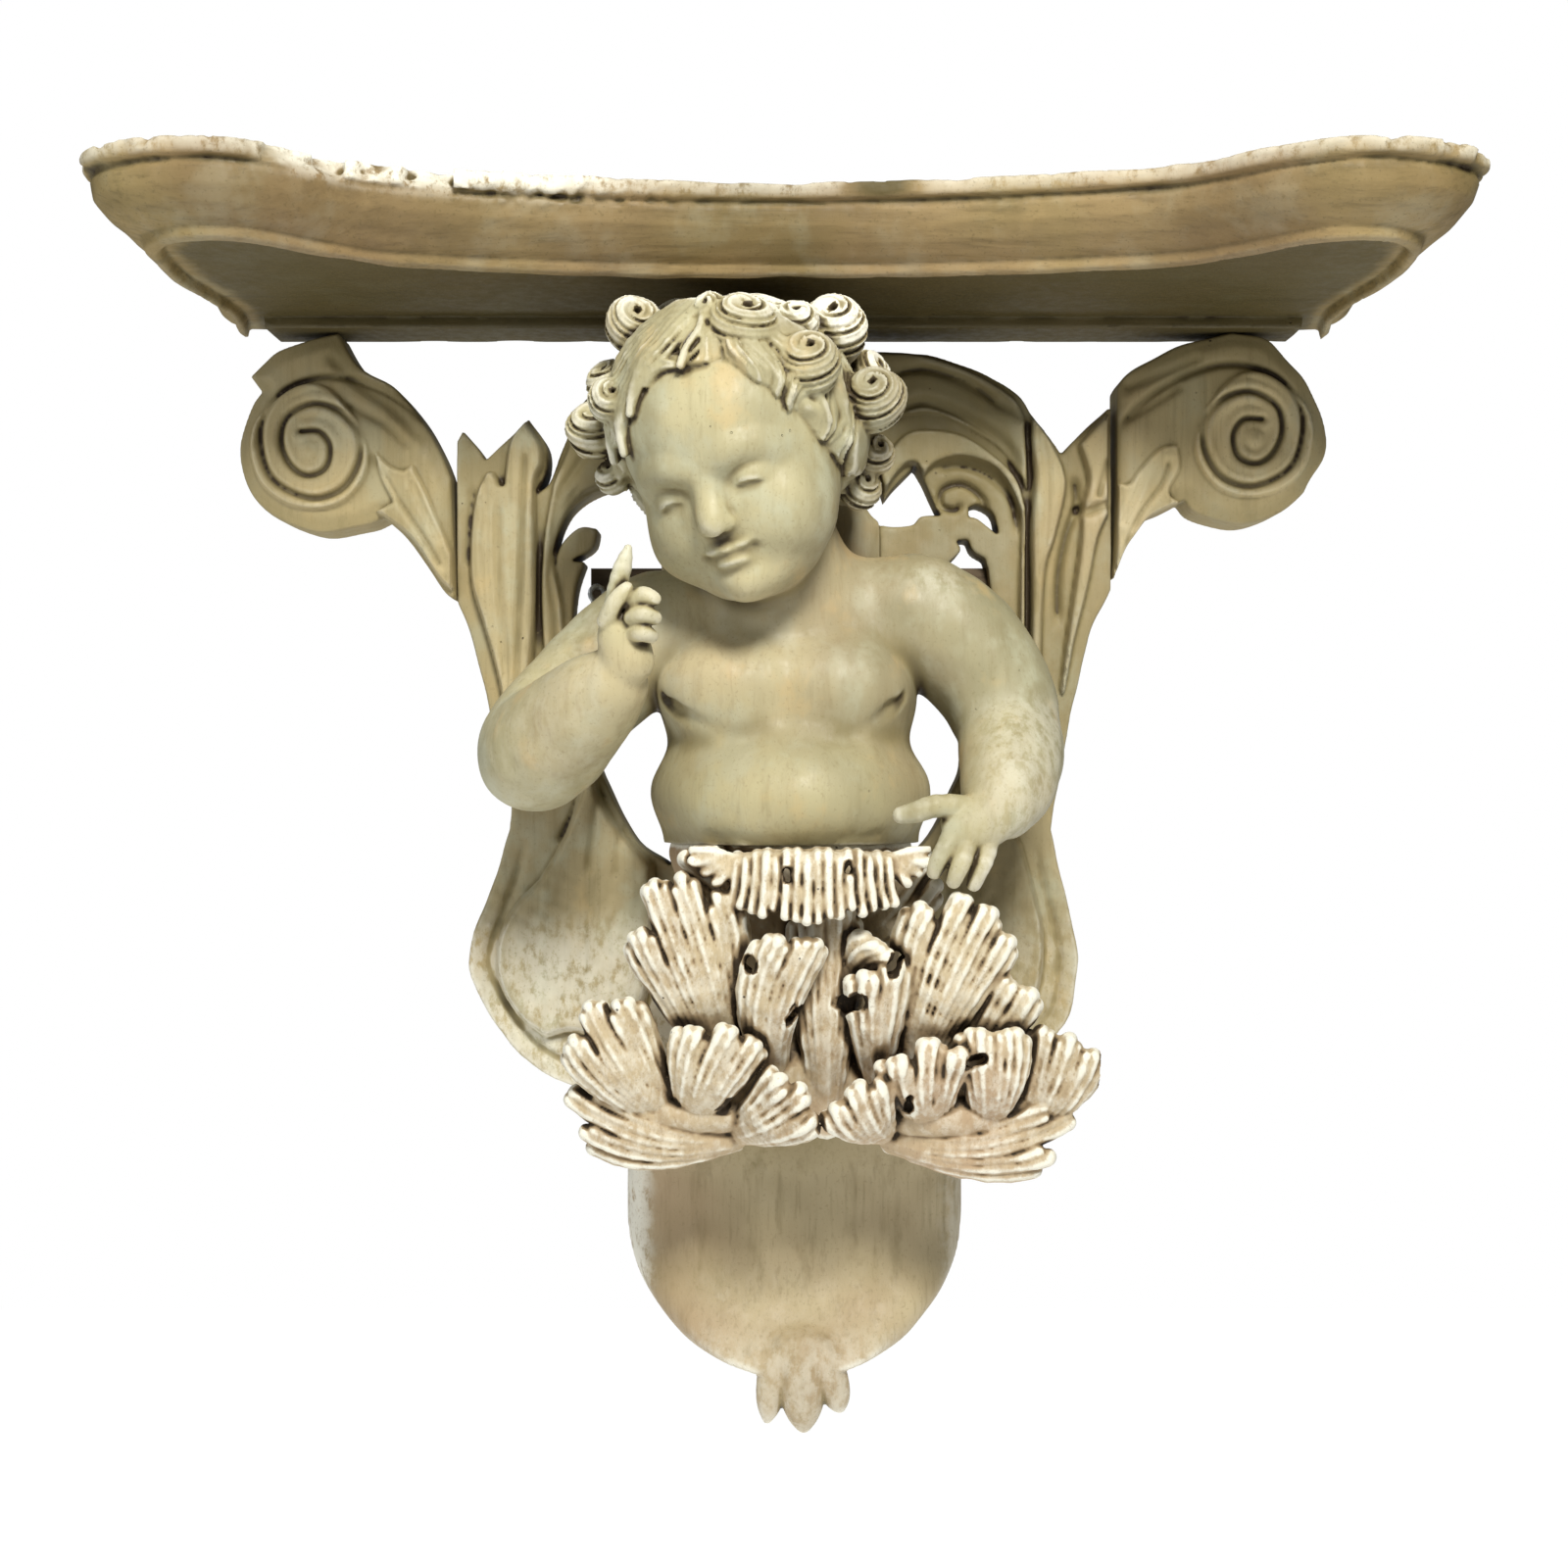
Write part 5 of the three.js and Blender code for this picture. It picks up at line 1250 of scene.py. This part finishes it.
def build_board():
    holes = [outline(runs) for runs in HOLES]
    rim = outline(BOARD_RUNS)
    uneven = waves(5, 34)
    chips = waves(8, 9)

    def edge(x, z):
        d = polygon_distance(rim, x, z)
        d = np.minimum(d, box((x, z), (-70, 210), (44, 296)))
        for hole in holes:
            d = np.maximum(d, -polygon_distance(hole, x, z))
        return d + 0.35 * uneven(x, 0, z)

    def height(x, z):
        lobes_rim = polygon_distance(rim, x, z)
        level = np.full(np.broadcast(x, z).shape, BOARD_THICKNESS, np.float32)
        for runs, top, width in RAISED:
            inside = polygon_distance(outline(runs), x, z)
            level = raise_within(level, inside, top, width)
        spine = box((x, z), (-62, None), (62, 230))
        neck = box((x, z), (-70, 210), (44, None))
        level = np.where((spine < 0) | (neck < 0), BOARD_FRONT, level)
        plain = (spine > 0) & (neck > 0)
        cut = tooled_height(level, x, z, TOOLED)
        speckle = np.where(z < -55, 0.35, 0.1) * chips(x, 0, z)
        low_ground = smooth_step(-z, 30, 60) * (level < BOARD_THICKNESS + 2)
        groove = 3.2 * np.exp(-((lobes_rim + 13) / 3.0) ** 2) * low_ground
        return np.where(plain, np.minimum(cut + speckle - groove, BOARD_FRONT), level)

    field = relief_field((-219, -213), (219, 299), 1.5, edge, height)
    x, forward, z = field.places()
    field.cut_to(-box((x, forward, z), (-128.3, None, 80.7), (136.3, 15.3, 143.3)))
    field.cut_to(box((x, z), (-SEAM_X, BOARD_FOOT), (SEAM_X, 296)))

    def marks(world):
        x, y, z = world.T
        speckled = smooth_step(-z, 60, 110) * 0.3
        # Painted shade, with some dirt, on the sunk ground; a painted shadow of the shelf over the upper
        # board; paler lower lobes, most on the left, as gesso together with a painted highlight
        sunk = smooth_step(BOARD_FRONT + y, 1.5, 9) * smooth_step(z, -50, 10)
        upper = smooth_step(z, 160, 230) * smooth_step(200 - np.abs(x), 40, 60)
        left = smooth_step(-z, 60, 120) * smooth_step(-x, -60, 120)
        stain = upper * 0.5 + sunk * (0.55 + 0.4 * upper)
        return {"gesso": speckled + 0.2 * left, "stain": np.clip(stain, 0, 1)}

    wood = carved_wood("board_wood", (0.41, 0.335, 0.18), (0.3, 0.245, 0.13), grain=(75, 75, 4), gesso=0.05,
                       grime_and_shade=1.1, wear_and_edge_highlight=0.25, dirt_and_shade=1.25, mottle=0.5)
    make_piece("backboard_carving", field, "backboard", wood, from_wall, 150000, marks)


WING_RIGHT = [
    [[SEAM_X, 254], [223, 267], [242, 279], [268, 290], [293, 295.5]],
    [[293, 295.5], [313, 293], [325, 284], [341, 265], [353, 239], [355, 217], [341, 191]],
    [[341, 191], [322, 176], [297, 170], [271, 177], [262, 186]],
    [[262, 186], [250, 179], [236, 172], [223, 153], [SEAM_X, 130]],
    [[SEAM_X, 254]],
]
WING_LEFT = [
    [[-SEAM_X, 120], [-224, 128], [-242, 155], [-262, 175]],
    [[-262, 175], [-276, 169], [-305, 165], [-336, 176], [-352, 196], [-357, 220], [-349, 246], [-342, 257]],
    [[-350, 267]],
    [[-350, 267], [-340, 276], [-330, 284], [-310, 291], [-292, 295.5]],
    [[-292, 295.5], [-279, 274], [-257, 261], [-240, 243], [-225, 217], [-SEAM_X, 190]],
    [[-SEAM_X, 120]],
]
# The right volute's wound groove and the outer edge of its band; the left one mirrors them
VOLUTE_GROOVE = [
    [217, 227], [228, 244], [250, 261], [275, 272], [299, 274], [323, 265], [336, 248], [338, 229],
    [332, 209], [318, 198], [301, 194], [284, 201], [274, 218], [274, 237], [286, 251], [304, 256],
    [321, 247], [325, 231], [319, 216], [308, 209], [296, 214], [293, 228], [300, 238], [312, 238],
]
VOLUTE_BAND = [
    [275, 246], [268, 227], [269, 209], [282, 192], [301, 186], [323, 190], [340, 205], [346, 227],
    [342, 246], [329, 261], [312, 270], [292, 266],
]
VOLUTES = {
    "right": {"outline": WING_RIGHT, "centre": (306, 226), "side": 1, "shift": (0, 0), "seed": 22},
    "left": {"outline": WING_LEFT, "centre": (-309, 218), "side": -1, "shift": (-3, -8), "seed": 21},
}
HUSKS = {
    "right": ([[[SEAM_X, 200], [224, 196], [230, 204], [244, 219], [257, 222]],
               [[257, 222], [259, 206], [252, 190], [262, 184]],
               [[262, 184], [240, 172], [226, 152], [SEAM_X, 132]],
               [[SEAM_X, 200]]],
              [([[252, 214], [246, 196], [232, 176], [220, 150]], 2.2, 2.4),
               ([[236, 206], [228, 186], [219, 166]], 2.2, 2.0),
               ([[220, 258], [246, 268], [276, 280]], 4.0, 2.6),
               ([[220, 236], [244, 250], [262, 262]], 3.0, 2.2)]),
    "left": ([[[-SEAM_X, 124], [-226, 134], [-244, 160], [-262, 174], [-268, 178]],
              [[-268, 178], [-256, 184]],
              [[-256, 184], [-264, 200], [-268, 219]],
              [[-268, 219], [-256, 208], [-248, 205]],
              [[-248, 205], [-242, 210]],
              [[-242, 210], [-232, 190], [-224, 170]],
              [[-224, 170], [-SEAM_X, 150]],
              [[-SEAM_X, 124]]],
             [([[-264, 208], [-250, 184], [-234, 160], [-220, 136]], 2.2, 2.4),
              ([[-244, 200], [-234, 178], [-222, 154]], 2.2, 2.2),
              ([[-300, 284], [-282, 264], [-256, 246], [-236, 222]], 4.0, 2.8),
              ([[-290, 250], [-262, 236], [-244, 218]], 3.0, 2.2)]),
}


def build_wing(side_name):
    volute = VOLUTES[side_name]
    husk_runs, lines = HUSKS[side_name]
    rim = outline(volute["outline"])
    husk = outline(husk_runs)
    cx, cz = volute["centre"]
    side = volute["side"]
    mirror, shift = np.array([side, 1]), np.array(volute["shift"])
    wound = spline(np.array(VOLUTE_GROOVE) * mirror + shift, 90)
    band = outline([np.array(VOLUTE_BAND + VOLUTE_BAND[:1]) * mirror + shift])
    uneven = waves(volute["seed"], 30)

    def edge(x, z):
        d = polygon_distance(rim, x, z) + 0.35 * uneven(x, 0, z)
        gap = 0.3 + 3.1 * smooth_step(z, 120, 205)
        return np.maximum(d, SEAM_X + gap - side * x)

    def height(x, z):
        rim_gap = polygon_distance(rim, x, z)
        level = np.full(np.broadcast(x, z).shape, 34.0, np.float32)
        level = level - 2.5 * smooth_step(rim_gap, -12, -2)
        disc = np.hypot(x - cx, z - cz)
        ring = polygon_distance(band, x, z)
        level = raise_within(level, ring, 38.4, 6)
        level = level - 1.6 * smooth_step(30 - disc, 0, 12)
        gap, along = line_distance(wound, x, z)
        half = 2.7 - 1.0 * along
        level = level - (4.2 - 1.2 * along) * np.exp(-(gap / half) ** 2) * smooth_step(along, 0, 0.06)
        level = level + 1.0 * np.exp(-((gap - 5.0) / 2.4) ** 2) * smooth_step(-ring, -2, 3)
        boss = np.clip(1 - (disc / 10.5) ** 2, 0, 1) ** 0.5
        level = np.maximum(level, 30 + 9.6 * boss)
        inside = polygon_distance(husk, x, z)
        level = raise_within(level, inside, 39.5, 6)
        return np.minimum(tooled_height(level, x, z, lines), BOARD_FRONT)

    low = (min(p[0] for p in rim) - 4, 116)
    high = (max(p[0] for p in rim) + 4, 299)
    field = relief_field(low, high, 1.3, edge, height)
    field.cut_to(field.places()[2] - 296)

    def marks(world):
        x, y, z = world.T
        disc = np.hypot(x - cx, z - cz)
        # Painted shade, with some dirt, on the sunk ground, and a painted shadow of the shelf over the top
        sunk = smooth_step(BOARD_FRONT + y, 2.5, 9)
        return {"gesso": 0.12 * smooth_step(40 - disc, 0, 12),
                "stain": np.clip(0.35 * smooth_step(z, 240, 290) + 0.7 * sunk, 0, 1)}

    node = f"volute_{side_name}"
    wood = carved_wood(f"{node}_wood", (0.5, 0.4, 0.21), (0.36, 0.29, 0.15), grain=(75, 75, 4), gesso=0.05,
                       grime_and_shade=1.1, blush=0.2, wear_and_edge_highlight=0.25, dirt_and_shade=1.25, mottle=0.35)
    make_piece(f"{node}_carving", field, node, wood, from_wall, 60000, marks)


# The pendant

PENDANT_SECTIONS = [
    [0, 0.93, 0], [0.2, 0.99, -0.35], [0.4, 1, -0.5], [0.58, 0.98, -0.3], [0.73, 0.89, 0.15],
    [0.87, 0.71, 0.7], [0.95, 0.51, 1], [1, 0.27, 0.92],
]


def build_pendant():
    top = BOARD_FOOT - JOINT_GAP
    foot = top - PENDANT_HEIGHT
    down = spline(PENDANT_SECTIONS, 60)
    field = Field((PENDANT_CENTRE - 120, -3, foot - 46), (PENDANT_CENTRE + 120, 90, top + 3), 1.5)
    x, forward, z = field.places()
    share = (top - z) / PENDANT_HEIGHT
    reach = np.interp(share, down[:, 0], down[:, 1]) * PENDANT_WIDTH / 2
    flare = np.interp(share, down[:, 0], down[:, 2])
    depth = PENDANT_TOP_DEPTH + flare * (PENDANT_LIP_DEPTH - PENDANT_TOP_DEPTH)
    side = np.clip(np.abs(x - PENDANT_CENTRE) / reach, 0, 1)
    front = depth * (1 - side ** 5.7) ** 0.5 - 15 * (1 - side ** 2) * smooth_step(share, 0.0, 0.3)
    front = front + 2.2 * np.exp(-((side - 0.93) / 0.045) ** 2) * smooth_step(share, 0.1, 0.4)
    sides = (np.abs(x - PENDANT_CENTRE) - reach) * 0.85
    solid = smooth_max((forward - front) * 0.8, sides, 4)
    field.value = solid.astype(np.float32)
    field.cut_to(box((forward, z), (0, foot), (None, top)))
    field.value += 0.3 * waves(31, 30)(x, forward, z)
    lip = PENDANT_LIP_DEPTH
    for dx, drop, half in ((-16, 34, 8.5), (5, 38, 13), (26, 27, 9)):
        leaf = [[PENDANT_CENTRE + 0.6 * dx + 2, lip - 22, foot + 16, half * 0.8],
                [PENDANT_CENTRE + 0.85 * dx, lip - 21, foot + 2, half * 1.1],
                [PENDANT_CENTRE + dx, lip - 24, foot - 0.5 * drop, half],
                [PENDANT_CENTRE + 1.1 * dx, lip - 26, foot - drop + 4, half * 0.4]]
        tube(field, spline(leaf, 10), 1.5, 9)
    for dx in (-10, -1, 11, 18):
        vein = [[PENDANT_CENTRE + 0.6 * dx + 2, lip - 4, foot + 20, 0.8],
                [PENDANT_CENTRE + dx, lip - 5, foot, 1.4],
                [PENDANT_CENTRE + 1.1 * dx, lip - 12, foot - 26, 1.4]]
        tube(field, spline(vein, 7), 2, cut=True)
    field.cut_to(np.maximum(-forward, z - top))

    def marks(world):
        x, _, z = world.T
        side = np.abs(x - PENDANT_CENTRE)
        # Painted highlights on the rounded side rims, strongest on the left, and over the lower lip
        lit = smooth_step(side, 86, 104) * smooth_step(-z, 215, 235)
        lit = lit * np.where(x < PENDANT_CENTRE, 0.8, 0.35)
        lit = lit + smooth_step(-z, 335, 365) * 0.3
        # A painted shadow under the foliage over the top; the pendant is also darker in a band low down and
        # in a strip down the middle
        band = np.exp(-((z + 318) / 16) ** 2) * 0.45 * smooth_step(side, 10, 60)
        under = smooth_step(z, -275, -215) * 0.6 + band + 0.25 * np.exp(-(side / 40) ** 2)
        return {"gesso": lit, "stain": np.clip(under, 0, 1)}

    wood = carved_wood("pendant_wood", (0.51, 0.43, 0.27), (0.38, 0.3, 0.175), grain=(80, 80, 3.5),
                       gesso=0.12, grime_and_shade=0.9, blush=0.3, rough=0.55, wear_and_edge_highlight=0.5)
    make_piece("pendant_carving", field, "pendant", wood, from_wall, 60000, marks)


# The shelf

TOP_EDGE = [
    [0, 1, 0], [0.286, 1, 0.12], [0.56, 1, 0.4], [0.675, 1, 0.76], [0.78, 1, 1], [0.875, 1, 0.98],
    [0.965, 1, 0.8], [1.005, 1, 0.5], [1, 0.9, 0], [0.964, 0.4, 0], [1, 0, 0],
]
INNER_EDGE = [
    [0, 1, 0], [0.3, 1, 0.08], [0.57, 1, 0.3], [0.665, 1, 0.56], [0.77, 1, 0.96], [0.85, 1, 0.96],
    [0.9, 1, 0.72], [0.915, 1, 0.42], [0.92, 0.9, 0], [0.9, 0.4, 0], [0.925, 0, 0],
]
MOULDING = [
    (0.06, 1), (0, 0.95), (0, 0.84), (0.05, 0.8), (0.17, 0.785), (0.13, 0.69), (0.19, 0.52), (0.36, 0.36),
    (0.6, 0.23), (0.76, 0.18), (0.8, 0.06), (0.92, 0.03), (1, 0.08), (1.04, 0.16),
]
MOULDING_DEPTH = 32.0
# How much of the front edge is broken off, by place along the shelf
BREAK = [
    (-290, 0), (-280, 5), (-268, 8), (-262, 13), (-246, 14), (-243, 6), (-216, 4), (-212, 9), (-190, 11),
    (-187, 12), (-186.4, 0),
]


def plan_points(rows, inset):
    half = []
    for share, depth, reach in rows:
        out = depth * SHELF_DEPTH + reach * CORNER_REACH - inset * min(1, depth)
        half.append([share * SHELF_WIDTH / 2, out])
    other = [[-x, y] for x, y in half[:0:-1]]
    curve = spline(other + half, 140)
    return [[curve[0][0], -12.0], *curve.tolist(), [curve[-1][0], -12.0]]


def build_shelf():
    field = Field((-400, -2, SHELF_BOTTOM - 3), (400, 264, SHELF_BOTTOM + SHELF_THICKNESS + 3), 1.7)
    x, forward, z = field.places()
    flat_x, flat_y = x[:, :, 0], forward[:, :, 0]
    outer = -polygon_distance(plan_points(TOP_EDGE, 0), flat_x, flat_y)
    inner = -polygon_distance(plan_points(INNER_EDGE, MOULDING_DEPTH), flat_x, flat_y)
    span = np.maximum(outer - inner, 4)
    inset = np.where(outer < 0, outer / MOULDING_DEPTH, outer / span)
    height = (z - SHELF_BOTTOM) / SHELF_THICKNESS
    profile = [(u * MOULDING_DEPTH, v * SHELF_THICKNESS) for u, v in MOULDING]
    profile += [(MOULDING_DEPTH * 8, 0.16 * SHELF_THICKNESS), (MOULDING_DEPTH * 8, SHELF_THICKNESS)]
    # The moulding's section, looked up by how far in and how high a place is
    columns = np.arange(-20.0, MOULDING_DEPTH * 1.6, 0.5, dtype=np.float32)[:, None]
    levels = np.arange(-6.0, SHELF_THICKNESS + 8, 0.5, dtype=np.float32)[None, :]
    section = polygon_distance(profile, columns, levels)
    u = np.clip((inset[:, :, None] * MOULDING_DEPTH - columns[0, 0]) / 0.5, 0, section.shape[0] - 1.01)
    v = np.clip((height * SHELF_THICKNESS - levels[0, 0]) / 0.5, 0, section.shape[1] - 1.01)
    ui, vi = u.astype(int), v.astype(int)
    uf, vf = u - ui, v - vi
    solid = (section[ui, vi] * (1 - uf) * (1 - vf) + section[ui + 1, vi] * uf * (1 - vf)
             + section[ui, vi + 1] * (1 - uf) * vf + section[ui + 1, vi + 1] * uf * vf)
    ledge_half = 0.435 * SHELF_WIDTH
    ledge = box((x, forward, z), (-ledge_half, None, SHELF_BOTTOM),
                (ledge_half, FIGURE_BACK, SHELF_BOTTOM + 12))
    solid = np.minimum(solid, ledge)
    # Worn and broken places along the front edge
    coarse = waves(51, 17, 9)(x, forward, z)
    along = coarse + 0.5 * waves(52, 6, 9)(x, forward, z)
    top = z - (SHELF_BOTTOM + SHELF_THICKNESS)
    front_gap = outer[:, :, None]
    rough = waves(54, 7, 9)(x, forward, z)
    lost = np.interp(x, *zip(*BREAK))
    loss = (lost + 0.7 * rough + 1.1 * coarse) * smooth_step(top, -17, -3) * (lost > 0)
    solid = np.where(lost > 0, smooth_max(solid, loss - front_gap, 1.0), solid)
    crust = smooth_step(x, -188, -186) * (1 - smooth_step(x, -110, -20)) * smooth_step(top, -21, -14)
    solid = solid - crust * (0.5 + 0.6 * rough) * (front_gap < 12)
    worn_top = (smooth_step(np.abs(x), 290, 340) * 1.1 + 0.35) * smooth_step(top, -14, 0)
    solid = solid + worn_top * np.clip(along, -0.3, 1.6)
    solid = solid + 0.35 * waves(53, 40)(x, forward, z)
    field.value = solid.astype(np.float32)
    field.cut_to(box((forward, z), (0, SHELF_BOTTOM), (None, SHELF_BOTTOM + SHELF_THICKNESS)))

    def marks(world):
        x, y, z = world.T
        level = z - SHELF_BOTTOM
        ix, iy = (((world[:, i] * (1, -1)[i] - field.low[i]) / field.cell).astype(int) for i in (0, 1))
        ix, iy = np.clip(ix, 0, inner.shape[0] - 1), np.clip(iy, 0, inner.shape[1] - 1)
        edge_gap = outer[ix, iy]
        rim = smooth_step(level, 39, 45) * (1 - smooth_step(edge_gap, 8, 18))
        lost = smooth_step(x, -280, -265) * (1 - smooth_step(x, -150, -60)) * smooth_step(level, 28, 40)
        lost = lost * (1 - smooth_step(edge_gap, 16, 30))
        patch = 0.8 * np.exp(-((x - 56) / 15) ** 2) * smooth_step(level, 38, 45) * smooth_step(-y, 120, 160)
        # A painted highlight along the bead
        bead = smooth_step(level, 1, 3) * smooth_step(10 - level, 0, 3) * smooth_step(-y, 100, 130) * 0.28
        # Painted shade over the soffit under the shelf
        within = inner[ix, iy]
        soffit = smooth_step(within, 3, 12) * smooth_step(14 - level, 0, 4)
        gesso = 0.32 * rim + 0.4 * lost + 0.2 * bead
        cove = smooth_step(level, 12, 20) * (1 - smooth_step(level, 34, 39)) * 0.25
        return {"gesso": np.clip(gesso - 2 * patch, 0, 1), "stain": np.clip(soffit + 2 * patch + cove, 0, 1)}

    wood = carved_wood("shelf_wood", (0.265, 0.195, 0.08), (0.17, 0.122, 0.046), dark=(0.058, 0.045, 0.012),
                       grain=(5, 75, 75), gesso=0.03, blush=0.18, rough=0.62, wear_and_edge_highlight=0.2, mottle=0.2)
    make_piece("shelf_board", field, "shelf", wood, from_wall, 170000, marks)


# The batten and the screw eye

def plain_wood(name, colour, deep):
    p = Palette(name)
    streaks = p.noise(1.0, (6, 70, 70), detail=5)
    tone = p.mix(p.ramp(streaks, 0.35, 0.65), colour, deep)
    return p.finish(tone, p.ramp(streaks, 0.3, 0.7, 0.7, 0.9), p.bump(streaks, 0.001, 0.6))


def zinc():
    p = Palette("zinc_plate")
    cloud = p.noise(300.0, detail=4)
    tone = p.mix(p.ramp(cloud, 0.4, 0.6), (0.42, 0.44, 0.46), (0.62, 0.64, 0.66))
    material = p.finish(tone, p.ramp(cloud, 0.3, 0.7, 0.35, 0.55), p.bump(cloud, 0.0002, 0.5))
    p.nodes["Principled BSDF"].inputs["Metallic"].default_value = 0.85
    return material


def dress_solids():
    for name, material in (
        # The batten's very dark wood is painted shade: it sits back in the shadow behind the figure
        ("rear_batten", plain_wood("batten_wood", (0.12, 0.085, 0.05), (0.05, 0.035, 0.02))),
        ("hanging_eye", zinc()),
    ):
        piece = bpy.data.objects[name]
        piece.data.materials.clear()
        piece.data.materials.append(material)


# The room

CAMERA_DISTANCE = 1.25
CAMERA_LENS = 42.75
FLOOR_SIZE = 6.0
FLOOR_LEVEL = -1.2
FLOOR_GLOW = 0.82  # lifts the floor to the white of the ground behind it


def make_camera():
    camera = bpy.data.objects.new("camera", bpy.data.cameras.new("camera"))
    bpy.context.collection.objects.link(camera)
    camera.location = (0, -CAMERA_DISTANCE, 0)
    camera.rotation_euler = (math.radians(90), 0, 0)
    camera.data.lens = CAMERA_LENS
    camera.data.sensor_width = 36
    bpy.context.scene.camera = camera


def make_light(name, place, aim, size, power, colour):
    data = bpy.data.lights.new(name, "AREA")
    data.size = size
    data.energy = power
    data.color = colour
    light = bpy.data.objects.new(name, data)
    light.location = place
    way = np.array(aim, float) - np.array(place, float)
    light.rotation_euler = (
        math.atan2(math.hypot(way[0], way[1]), -way[2]),
        0,
        math.atan2(way[1], way[0]) - math.pi / 2,
    )
    bpy.context.collection.objects.link(light)


def make_world():
    """Soft light from all round, under a white ground for the picture."""
    world = bpy.data.worlds.new("studio")
    bpy.context.scene.world = world
    world.use_nodes = True
    nodes, links = world.node_tree.nodes, world.node_tree.links
    soft = nodes["Background"]
    soft.inputs["Color"].default_value = (0.93, 0.97, 1, 1)
    soft.inputs["Strength"].default_value = 0.2
    white = nodes.new("ShaderNodeBackground")
    white.inputs["Color"].default_value = (1, 1, 1, 1)
    share = nodes.new("ShaderNodeMixShader")
    links.new(nodes.new("ShaderNodeLightPath").outputs["Is Camera Ray"], share.inputs[0])
    links.new(soft.outputs[0], share.inputs[1])
    links.new(white.outputs[0], share.inputs[2])
    links.new(share.outputs[0], nodes["World Output"].inputs["Surface"])


def make_room():
    bpy.ops.mesh.primitive_plane_add(size=FLOOR_SIZE, location=(0, 0, FLOOR_LEVEL))
    floor = bpy.context.object
    floor.name = "floor"
    material, nodes, _ = node_tree("floor_paint")
    paint = nodes["Principled BSDF"].inputs
    paint["Base Color"].default_value = (0.9, 0.9, 0.89, 1)
    paint["Roughness"].default_value = 0.9
    paint["Emission Color"].default_value = (1, 1, 1, 1)
    paint["Emission Strength"].default_value = FLOOR_GLOW
    floor.data.materials.append(material)
    make_world()
    make_light("key", (0.3, -1.6, 1.15), (0, -0.12, 0), 0.45, 48, (1, 0.99, 0.94))
    make_light("side", (-1.5, -1.1, 0.6), (0, -0.1, 0), 0.7, 9, (0.96, 0.98, 1))
    bpy.context.scene.view_settings.view_transform = "Standard"


build_shelf()
build_board()
build_wing("left")
build_wing("right")
build_figure()
build_acanthus()
build_pendant()
dress_solids()
make_room()
make_camera()
